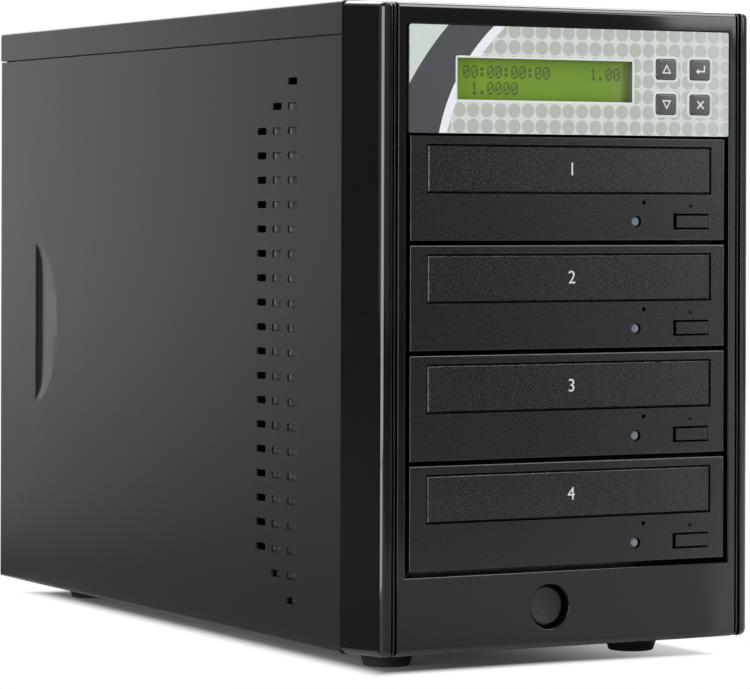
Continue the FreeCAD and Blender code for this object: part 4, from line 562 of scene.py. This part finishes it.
def cable_jacket():
    material, place = finish("cable_jacket", {})
    x, y, z = axes(place)
    supply_side = x.fades(-1.0, 1.0)
    weave = place.noise(0.0015, 3.0)
    feed(material, {
        "Base Color": supply_side.tints(tone(120, 22, 20), tone(28, 28, 29)),
        "Roughness": weave * 0.2 + 0.4,
        "Normal": weave.relief(0.00005, 0.4),
    })
    return material


board_thickness = 1.6
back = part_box("display_board")[1].y * 1000
dress(circuit_board("display_board_lacquer", 1, back - board_thickness, back), "display_board")
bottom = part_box("controller_board")[0].z * 1000
dress(circuit_board("controller_lacquer", 2, bottom, bottom + board_thickness), "controller_board")
smooth_piece("wiring", cable_jacket())
dress(frame_plastic, "power_switch")

# Control panel: a dark moulded carrier in the top bay, faced with a printed film. The film
# has a pale ground, a curved dark band with a white edge, and a field of grey dots.


def film_print(keys):
    material, place = finish("film_print", {})
    x, y, z = axes(place)
    film_bottom, soft = 216.2, 0.05
    h = z - film_bottom

    def disc(middle_x, middle_h, radius):
        """1 inside a circle and 0 outside."""
        distance = ((x - middle_x) ** 2 + (h - middle_h) ** 2) ** 0.5
        return distance.fades(radius + soft, radius - soft)

    def frame_line(middle_x, middle_z, width, height, corner, line):
        """1 inside a rounded outline that stands a line's width outside a window."""
        dx = (abs(x - middle_x) - (width / 2 - corner)).most(0.0)
        dz = (abs(z - middle_z) - (height / 2 - corner)).most(0.0)
        return ((dx ** 2 + dz ** 2) ** 0.5).fades(corner + line + soft, corner + line - soft)

    pitch, dot_radius, dot_soft = 6.35, 2.9, 0.15
    first_dot_x, first_dot_z = -40.1, 225.5
    across = (x - first_dot_x).repeats(pitch)
    along = (z - first_dot_z).repeats(pitch)
    dots = ((across ** 2 + along ** 2) ** 0.5).fades(dot_radius + dot_soft, dot_radius - dot_soft)

    ground = place.noise(0.02).tints(tone(199, 209, 200), tone(203, 213, 204))
    # The dots' grey lightens towards the right: a painted highlight of glare on the film.
    dot_grey_and_glare = x.fades(40.0, 72.0).tints(tone(175, 180, 174), tone(184, 190, 187))
    field = dots.tints(tone(206, 211, 207), dot_grey_and_glare)
    band_edge = (37.57, -47.19, 131.18)
    white_edge = (16.35, -17.03, 80.21)
    field_edge = (23.78, -21.84, 85.1)
    art = disc(*band_edge).tints(ground, tone(60, 63, 69))
    art = disc(*white_edge).tints(art, tone(230, 233, 238))
    art = disc(*field_edge).tints(art, field)
    window_width, window_height, window_corner, window_line = 82.2, 16.7, 0.3, 0.8
    key_width, key_height, key_corner, key_line = 10.0, 8.6, 1.2, 1.1
    window_middle = middle_of("lcd_screen")
    white = frame_line(*window_middle, window_width, window_height, window_corner, window_line)
    for key in keys:
        white = white.most(frame_line(*middle_of(key), key_width, key_height, key_corner, key_line))
    feed(material, {
        "Base Color": white.tints(art, tone(218, 222, 221)),
        "Roughness": place.noise(0.0005) * 0.1 + 0.34,
        "Normal": place.noise(0.0005).relief(0.00001, 0.3),
    })
    return material


def carrier_black():
    """Black, but for the walls of the display's window, painted lighter: painted light from the display.
    """
    material, place = finish("carrier_black", {})
    pits = place.noise(0.0007, 2.0)
    x, y, z = axes(place)
    window_x, window_z = middle_of("lcd_screen")
    half_width, half_height, soft = 42.0, 9.2, 1.0
    painted_lit_walls = abs(x - window_x).fades(half_width + soft, half_width)
    painted_lit_walls = painted_lit_walls * abs(z - window_z).fades(half_height + soft, half_height)
    black = pits.tints(tone(30, 30, 31), tone(48, 48, 49))
    feed(material, {
        "Base Color": painted_lit_walls.tints(black, tone(90, 96, 80)),
        "Roughness": pits * 0.14 + 0.5,
        "Normal": pits.relief(0.00003, 0.8),
    })
    return material


key_nodes = ("key_up", "key_down", "key_enter", "key_escape")
smooth_piece("control_panel", carrier_black())
dress(film_print(key_nodes), "panel_film")

# Display: a yellow-green two-line character display behind the panel's window. Its digits
# are dark squares, five across and seven high to a place.


def display_green():
    material, place = finish("display_green", {"Specular IOR Level": 0.25})
    x, y, z = axes(place)
    # Painted light: the green shifts from the left end to the bright middle, and over the right end it
    # turns a paler grey-green, both set to how light and shade fall on the recessed display.
    left_end, bright_end, right_end = -54.0, -20.0, 24.0
    shade_start, shade_end = 18.0, 29.0
    side = x.fades(left_end, bright_end) * 0.7 + x.fades(bright_end, right_end) * 0.3
    cloud = place.noise(0.012)
    green = (side * 0.8 + cloud * 0.2).tints(tone(119, 158, 32), tone(111, 147, 41))
    feed(material, {
        "Base Color": x.fades(shade_start, shade_end).tints(green, tone(131, 150, 80)),
        "Roughness": cloud * 0.1 + 0.3,
    })
    return material


def display_ink():
    material, place = finish("display_ink", {})
    feed(material, {
        "Base Color": place.noise(0.004).tints(tone(57, 77, 22), tone(67, 87, 28)),
        "Roughness": place.noise(0.001) * 0.1 + 0.4,
    })
    return material


def scatter_tree(name, sizes):
    """A node group for what repeats: an empty tree with its size inputs, to be filled in."""
    tree = bpy.data.node_groups.new(name, "GeometryNodeTree")
    tree.interface.new_socket("Places", in_out="INPUT", socket_type="NodeSocketGeometry")
    for size, value in sizes.items():
        socket = tree.interface.new_socket(size, in_out="INPUT", socket_type="NodeSocketFloat")
        socket.default_value = value
    tree.interface.new_socket("Material", in_out="INPUT", socket_type="NodeSocketMaterial")
    tree.interface.new_socket("Pieces", in_out="OUTPUT", socket_type="NodeSocketGeometry")
    inputs = Wire(tree, tree.nodes.new("NodeGroupInput").outputs[0])
    return tree, inputs


def end_tree(tree, inputs, shape, rotation):
    """Sets the shape on every place, realizes it and gives it its material."""
    sockets = {"Points": inputs, "Instance": shape, "Rotation": rotation}
    placed = inputs.add("GeometryNodeInstanceOnPoints", {}, sockets)
    plain = inputs.add("GeometryNodeRealizeInstances", {}, {0: placed})
    coated = inputs.add("GeometryNodeSetMaterial", {}, {0: plain, "Material": inputs.beside("Material")})
    tree.links.new(coated.socket, tree.nodes.new("NodeGroupOutput").inputs[0])


def scattered(name, tree, places, values, headings=()):
    """The plain mesh that a tree makes on points in metres."""
    mesh = bpy.data.meshes.new(name)
    mesh.from_pydata(places, [], [])
    if headings:
        layer = mesh.attributes.new("heading", "FLOAT_VECTOR", "POINT")
        for item, heading in zip(layer.data, headings):
            item.vector = heading
    holder = bpy.data.objects.new(name, mesh)
    bpy.context.scene.collection.objects.link(holder)
    modifier = holder.modifiers.new("places", "NODES")
    modifier.node_group = tree
    for item in tree.interface.items_tree:
        if item.in_out == "INPUT" and item.name in values:
            modifier[item.identifier] = values[item.name]
    return plain_mesh(holder)


def display_dot_tree():
    tree, inputs = scatter_tree("display_dots", {"Dot width": 0.00058, "Dot height": 0.0007})
    sockets = {"Size X": inputs.beside("Dot width"), "Size Y": inputs.beside("Dot height"),
               "Vertices X": 2, "Vertices Y": 2}
    square = inputs.add("GeometryNodeMeshGrid", {}, sockets)
    upright = inputs.add("FunctionNodeEulerToRotation", {}, {0: (math.pi / 2, 0, 0)})
    end_tree(tree, inputs, square, upright)
    return tree


# The rows of each sign from the top, with its five columns as bits.
digit_rows = {
    "0": (14, 17, 19, 21, 25, 17, 14), "1": (4, 12, 4, 4, 4, 4, 14),
    ":": (0, 12, 12, 0, 12, 12, 0), ".": (0, 0, 0, 0, 0, 12, 12), " ": (0,) * 7,
}
first_x, character_pitch = -48.9, 3.71
dot_pitch_x, dot_pitch_z, dot_proud = 0.6, 0.72, 0.00003
line_tops = (243.4, 236.9)
display_lines = ("00:00:00:00     1.00", " 1.0000")
low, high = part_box("lcd_screen")
dot_places = []
for text, top in zip(display_lines, line_tops):
    for place_in_line, character in enumerate(text):
        for row, bits in enumerate(digit_rows[character]):
            for column in range(5):
                if bits >> (4 - column) & 1:
                    x = first_x + character_pitch * place_in_line + dot_pitch_x * column
                    z = top - dot_pitch_z * (row + 0.5)
                    dot_places.append((x / 1000, low.y - dot_proud, z / 1000))
dress(display_green(), "lcd_screen")
dark_ink = display_ink()
mesh = scattered("display_digits", display_dot_tree(), dot_places, {"Material": dark_ink})
finish_piece(mesh, "display_digits", "chassis", "display_glass", dark_ink)

# Keys: four dark satin key caps that spring in the panel. Their printed signs are an up and
# a down triangle, a return arrow and a cross.


def key_print():
    material, place = finish("key_print", {"Coat Weight": 0.6, "Coat Roughness": 0.12})
    x, y, z = axes(place)
    left, high_z = middle_of("key_up")
    right, low_z = middle_of("key_escape")
    cap_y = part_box("key_up")[0].y * 1000
    off_x = abs(x - (left + right) / 2) - (right - left) / 2
    off_z = abs(z - (low_z + high_z) / 2) - (high_z - low_z) / 2
    dome_fall, diagonal = 0.011, 0.7071
    dome = (off_x ** 2 + off_z ** 2) * -dome_fall
    soft, line = 0.05, 0.5

    def triangle(dx, dz):
        """Outline of a triangle that points up: the distance from its nearest side, inside."""
        slope_x, slope_z, side_reach, base_drop = 0.87, 0.5, 1.05, 1.7
        inside = (abs(dx) * -slope_x - dz * slope_z + side_reach).least(dz + base_drop)
        return inside.fades(-soft, soft) * inside.fades(line + soft, line - soft)

    def bar(dx, dz, half_width, half_height):
        return abs(dx).fades(half_width + soft, half_width - soft) * abs(dz).fades(
            half_height + soft, half_height - soft)

    dx, dz = x - right, z - high_z
    stem_x, stem_z, stem_half = 1.9, 0.5, 1.4
    shaft_x, shaft_z, shaft_half, half_line = 0.4, -0.6, 1.8, 0.3
    tip_x, head_length, head_slope = -2.3, 1.5, 0.75
    from_tip = dx - tip_x
    head = (from_tip * head_slope - abs(dz - shaft_z)).fades(-soft, soft)
    head = head * from_tip.fades(head_length + soft, head_length - soft)
    stem = bar(dx - stem_x, dz - stem_z, half_line, stem_half)
    arrow = bar(dx - shaft_x, dz - shaft_z, shaft_half, half_line).most(stem).most(head)
    dx, dz = x - right, z - low_z
    lean, fall = (dx + dz) * diagonal, (dx - dz) * diagonal
    arm, arm_half_line = 2.2, 0.32
    cross = bar(lean, fall, arm, arm_half_line).most(bar(fall, lean, arm, arm_half_line))
    signs = triangle(x - left, z - high_z).most(triangle(x - left, low_z - z)).most(arrow).most(cross)
    signs = signs * y.fades(cap_y + 0.2, cap_y + 0.1)
    feed(material, {
        "Base Color": signs.tints(tone(62, 65, 69), tone(222, 225, 226)),
        "Roughness": place.noise(0.001) * 0.1 + 0.36,
        "Normal": (dome + place.noise(0.0006) * 0.003).relief(0.001, 1.0),
    })
    return material


key_caps = key_print()
for key in key_nodes:
    smooth_piece(key, key_caps)

# Moulded front: two cheeks and the frame between them, gloss black from polished moulds, held
# by clips in the front plate. The round button is the same black with a satin face.


def gloss_black():
    material, place = finish("gloss_black", {})
    haze = place.noise(0.035, 3.0)
    feed(material, {
        "Base Color": haze.tints(tone(8, 8, 8), tone(11, 11, 11)),
        "Roughness": haze * 0.03 + 0.035 + place.noise(0.002) * 0.01,
        "Normal": place.noise(0.006).relief(0.00002, 0.15),
    })
    return material


polished = gloss_black()
for node in ("left_cheek", "right_cheek", "front_frame"):
    smooth_piece(node, polished)
smooth_piece("power_button", grained_black("button_satin", 20, 0.00045, 0.00002, 0.4))

# Top cover and side panels: folded steel sheet with a fine satin dark grey powder coat, duller
# on the flat top. The cover's skirts lap the panels, which slide off to the rear on their tongues.


def powder_coat():
    material, place = finish("powder_coat", {})
    peel = place.noise(0.0009, 2.0)
    flow = place.noise(0.05, 2.0)
    x, y, z = axes(place)
    # Inside the seam between the cover's skirts and the panels the coat is painted near black and matte:
    # painted shade in the gap.
    inside_skirt, seam_bottom, seam_top = (86.4, 86.0), (255.5, 255.8), (268.2, 267.9)
    painted_seam_shade = abs(x).fades(*inside_skirt) * z.fades(*seam_bottom) * z.fades(*seam_top)
    flat_top = (269.65, 269.8)
    top = z.fades(*flat_top)
    feed(material, {
        "Base Color": painted_seam_shade.tints(flow.tints(tone(24, 25, 25), tone(26, 27, 27)), tone(3, 3, 3)),
        "Roughness": peel * 0.06 + flow * 0.03 + painted_seam_shade * 0.5 + top * 0.35 + 0.27,
        "Normal": peel.relief(0.00003, 0.35),
    })
    return material


coat = powder_coat()
for node in ("top_cover", "left_side_panel", "right_side_panel"):
    smooth_piece(node, coat)

# Screws and thumbscrews: nickel-plated pan heads with a cross recess through the rear panel,
# the feet and the cage, and knurled captive thumbscrews in the side panels' rear flanges.


def nickel_plate():
    material, place = finish("nickel_plate", {"Metallic": 1.0})
    wear = place.noise(0.0015, 3.0)
    feed(material, {
        "Base Color": wear.tints(tone(188, 186, 180), tone(216, 214, 208)),
        "Roughness": wear * 0.15 + 0.2,
    })
    return material


def screw_tree():
    sizes = {
        "Head radius": 0.0028, "Head top radius": 0.0021, "Head height": 0.002,
        "Shank radius": 0.00145, "Shank length": 0.0052,
        "Recess length": 0.003, "Recess width": 0.0007, "Recess depth": 0.0012,
    }
    tree, inputs = scatter_tree("pan_head_screws", sizes)

    def moved(shape, height):
        shift = inputs.add("ShaderNodeCombineXYZ", {}, {"Z": height})
        return inputs.add("GeometryNodeTransform", {}, {0: shape, "Translation": shift})

    def block(width, length, height, level):
        size = inputs.add("ShaderNodeCombineXYZ", {}, {"X": width, "Y": length, "Z": height})
        return moved(inputs.add("GeometryNodeMeshCube", {}, {"Size": size}), level)

    def combined(operation, first, second):
        mixer = tree.nodes.new("GeometryNodeMeshBoolean")
        mixer.operation = operation
        mixer.solver = "EXACT"
        if operation == "DIFFERENCE":
            tree.links.new(first.socket, mixer.inputs["Mesh 1"])
            tree.links.new(second.socket, mixer.inputs["Mesh 2"])
        else:
            tree.links.new(second.socket, mixer.inputs["Mesh 2"])
            tree.links.new(first.socket, mixer.inputs["Mesh 2"])
        return Wire(tree, mixer.outputs[0])

    height, length = inputs.beside("Head height"), inputs.beside("Shank length")
    head = inputs.add("GeometryNodeMeshCone", {}, {
        "Vertices": 20, "Radius Top": inputs.beside("Head top radius"),
        "Radius Bottom": inputs.beside("Head radius"), "Depth": height})
    overlap = height * 0.4
    shank = inputs.add("GeometryNodeMeshCylinder", {}, {
        "Vertices": 14, "Radius": inputs.beside("Shank radius"), "Depth": length + overlap})
    shank = moved(shank, (overlap - length) * 0.5)
    cut = inputs.beside("Recess depth") * 2
    first = block(inputs.beside("Recess length"), inputs.beside("Recess width"), cut, height)
    second = block(inputs.beside("Recess width"), inputs.beside("Recess length"), cut, height)
    shape = combined("DIFFERENCE", combined("UNION", head, shank), combined("UNION", first, second))
    settings = {"data_type": "FLOAT_VECTOR"}
    heading = inputs.add("GeometryNodeInputNamedAttribute", settings, {"Name": "heading"})
    turn = inputs.add("FunctionNodeAlignRotationToVector", {"axis": "Z"}, {"Vector": heading})
    end_tree(tree, inputs, shape, turn)
    return tree


def screw_seats():
    """Where each screw's head sits, and the way that the head looks."""
    foot_x, foot_rows, foot_seat = 58.8, (-148.7, 146.0), 4.0
    supply_x, supply_rows = 68.0, (16.3, 88.3)
    fan_middle, fan_hole = middle_of("exhaust_fan_frame"), 35.75
    rear_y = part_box("rear_panel")[1].y * 1000
    wall_x, front_y, back_y = 74.3, -138.9, -59.65
    first_bay_z, bay_pitch, panel_z = 52.525, 43.71, 246.18
    bays = [(y, first_bay_z + bay_pitch * bay) for bay in range(4) for y in (front_y, back_y)]
    bays.append((front_y, panel_z))
    seats = []
    for side in (-1, 1):
        for y in foot_rows:
            seats.append(((foot_x * side, y, foot_seat), (0, 0, -1)))
        for z in supply_rows:
            seats.append(((supply_x * side, rear_y, z), (0, 1, 0)))
        for rise in (-fan_hole, fan_hole):
            fan_place = (fan_middle[0] + fan_hole * side, rear_y, fan_middle[1] + rise)
            seats.append((fan_place, (0, 1, 0)))
        for y, z in bays:
            seats.append(((wall_x * side, y, z), (side, 0, 0)))
    return seats


nickel = nickel_plate()
seats = screw_seats()
places = [tuple(v / 1000 for v in place) for place, heading in seats]
headings = [heading for place, heading in seats]
mesh = scattered("chassis_screws_cross_head", screw_tree(), places, {"Material": nickel}, headings)
finish_piece(mesh, "chassis_screws_cross_head", "chassis", "screw_steel", nickel, "chassis_screws")
for side in ("left", "right"):
    smooth_piece("%s_thumbscrews" % side, nickel)

# Studio: a white floor that keeps only the shadow close to the feet, and that gloss mirrors dark
# at the left and pale in front; a box and a low strip at the left, a box and a card at the right,
# boxes behind and above, a strip over the front, and a level camera before the left corner.


def studio_floor():
    """White to the camera beyond the shadow, and for gloss as the photograph's floor mirrors."""
    half = 4.0
    mesh = bpy.data.meshes.new("floor")
    corners = [(-half, -half, 0), (half, -half, 0), (half, half, 0), (-half, half, 0)]
    mesh.from_pydata(corners, [], [(0, 1, 2, 3)])
    floor = bpy.data.objects.new("floor", mesh)
    bpy.context.scene.collection.objects.link(floor)
    material, place = finish("floor_white", {"Roughness": 0.6})
    x, y, z = axes(place, 1.0)
    half_width, half_depth, middle_y, shade_depth = 0.0868, 0.1945, -0.0014, 0.1845

    def turn(corner_x, corner_y, way_x, way_y):
        """The angle about a corner of the case, from a way along the floor."""
        return x.maths("ARCTAN2", (x - corner_x) * way_x, (y - corner_y) * way_y)

    def over(angle, start, end):
        """Fades over an angle in degrees."""
        return angle.fades(math.radians(start), math.radians(end))

    clear = (abs(x) - half_width).most(abs(y - middle_y) - half_depth)
    left_turn = turn(-0.087, -0.17, -1, 1)
    right_turn = turn(0.07, -0.196, 1, -1)
    behind = over(left_turn, 23, 12) * clear.fades(0.12, 0.5)
    before = over(left_turn, 105, 130).most(over(left_turn, 0, -10))
    # For gloss rays the floor's colour is painted: dark at the left and behind, a painted shade that the
    # case's sides mirror; pale in front; grey far in front; bright near the case and to the right, a
    # painted reflection.
    white, pale, dark, far_grey, bright = [(v, v, v, 1) for v in (0.66, 0.54, 0.02, 0.18, 0.95)]
    mirrored = behind.most(before).tints(dark, pale)
    mirrored = clear.fades(0.03, 0.008).tints(mirrored, bright)
    mirrored = y.fades(-0.55, -0.85).tints(mirrored, far_grey)
    mirrored = over(right_turn, 32.3, 34.3).tints(mirrored, bright)
    shader = Wire(material.node_tree, material.node_tree.nodes["Principled BSDF"].outputs[0])
    ray = place.add("ShaderNodeLightPath", {}, {}, "Is Camera Ray")
    feed(material, {"Base Color": ray.beside("Is Glossy Ray").tints(white, mirrored)})
    glow = place.add("ShaderNodeEmission", {}, {"Color": (1, 1, 1, 1), "Strength": 1.0})
    # For the camera, the shadow under the case is painted lighter towards the right, with white mixed
    # in.
    shade_edge = (abs(x) - half_width).most(abs(y - middle_y) - shade_depth)
    shown = shade_edge.fades(-0.019, -0.002).most(x.fades(-0.09, 0.09) ** 5 * 0.6 + 0.02)
    mixed = place.add("ShaderNodeMixShader", {}, {0: ray * shown, 1: shader, 2: glow})
    output = material.node_tree.nodes["Material Output"]
    material.node_tree.links.new(mixed.socket, output.inputs["Surface"])
    mesh.materials.append(material)


def soft_box(name, place, target, width, height, power, rise=(0, 0, 1)):
    """A rectangular lamp that looks at a target, with its height along a rise; metres, watts."""
    lamp = bpy.data.lights.new(name, "AREA")
    lamp.shape = "RECTANGLE"
    lamp.size = width
    lamp.size_y = height
    lamp.energy = power
    holder = bpy.data.objects.new(name, lamp)
    holder.location = place
    holder.visible_camera = False
    look = (Vector(place) - Vector(target)).normalized()
    across = Vector(rise).cross(look).normalized()
    holder.rotation_euler = Matrix((across, look.cross(across), look)).transposed().to_euler()
    bpy.context.scene.collection.objects.link(holder)


def studio_world():
    world = bpy.data.worlds.new("studio")
    bpy.context.scene.world = world
    world.use_nodes = True
    tree = world.node_tree
    tree.nodes.clear()
    way = Wire(tree).add("ShaderNodeTexCoord", {}, {}, "Generated")

    def towards(direction, start, end):
        """1 where a ray goes near a direction, faded in between two cosines."""
        settings, sockets = {"operation": "DOT_PRODUCT"}, {0: way, 1: direction}
        return way.add("ShaderNodeVectorMath", settings, sockets, "Value").fades(start, end)

    behind = towards((0.475, 0.88, 0.0), 0.8, 0.95)
    before = towards((0.48, -0.877, 0.0), 0.8, 0.95)
    left_rear = towards((-0.36, 0.933, 0.0), 0.9, 0.96)
    white, mid_grey, fill_grey, dim, dark = [(v, v, v, 1) for v in (1.0, 0.5, 0.22, 0.2, 0.05)]
    camera_ray = way.add("ShaderNodeLightPath", {}, {}, "Is Camera Ray")
    shiny = camera_ray.beside("Is Glossy Ray").most(camera_ray.beside("Is Transmission Ray"))
    seen = left_rear.tints(before.tints(mid_grey, dim), dark)
    seen = behind.tints(seen, white)
    light = camera_ray.tints(shiny.tints(fill_grey, seen), white)
    shade = way.add("ShaderNodeBackground", {}, {"Color": light, "Strength": 1.0})
    tree.links.new(shade.socket, tree.nodes.new("ShaderNodeOutputWorld").inputs["Surface"])


def studio_camera():
    """The camera that the photograph's straight edges give, with its pixels as its unit."""
    picture_width, picture_height, focal_length, horizon_row = 750, 689, 3704.69, 202.98
    level, roll, heading = 90.0, -0.1723, -28.3576
    lens = bpy.data.cameras.new("camera")
    lens.sensor_width = 36.0
    lens.lens = lens.sensor_width * focal_length / picture_width
    lens.shift_y = (horizon_row - picture_height / 2) / picture_width
    holder = bpy.data.objects.new("camera", lens)
    holder.location = (-0.78129, -1.47633, 0.18834)
    holder.rotation_euler = [math.radians(angle) for angle in (level, roll, heading)]
    bpy.context.scene.collection.objects.link(holder)
    bpy.context.scene.camera = holder


studio_floor()
studio_world()
soft_box("left_box", (-1.2, -0.465, 0.43), (0.0, -0.465, 0.43), 0.77, 0.85, 14.4)
soft_box("left_strip", (-0.42, -0.2475, 0.03), (0.0, -0.2475, 0.03), 0.183, 0.06, 0.2)
soft_box("right_box", (1.48, -1.637, 0.795), (0.0, 0.0, 0.13), 0.9, 0.9, 11.5)
soft_box("right_card", (1.45, -1.66, 0.17), (0.0, 0.0, 0.17), 0.7, 0.34, 0.8)
soft_box("rear_box", (-0.645, 1.9, 0.45), (-0.645, 0.0, 0.45), 0.59, 0.9, 2.3)
soft_box("hair_box", (0.6, 1.25, 1.3), (0.0, -0.19, 0.26), 1.9, 1.2, 28.0)
soft_box("top_box", (0.5, -0.3, 1.6), (0.0, 0.0, 0.1), 1.4, 1.4, 10.0)
strip_rise = (0.0, 0.908, 0.42)
soft_box("front_strip", (0.633, -0.632, 1.219), (0.05, -0.19, 0.267), 0.35, 0.8, 5.6, strip_rise)
studio_camera()
bpy.context.scene.view_settings.view_transform = "Standard"
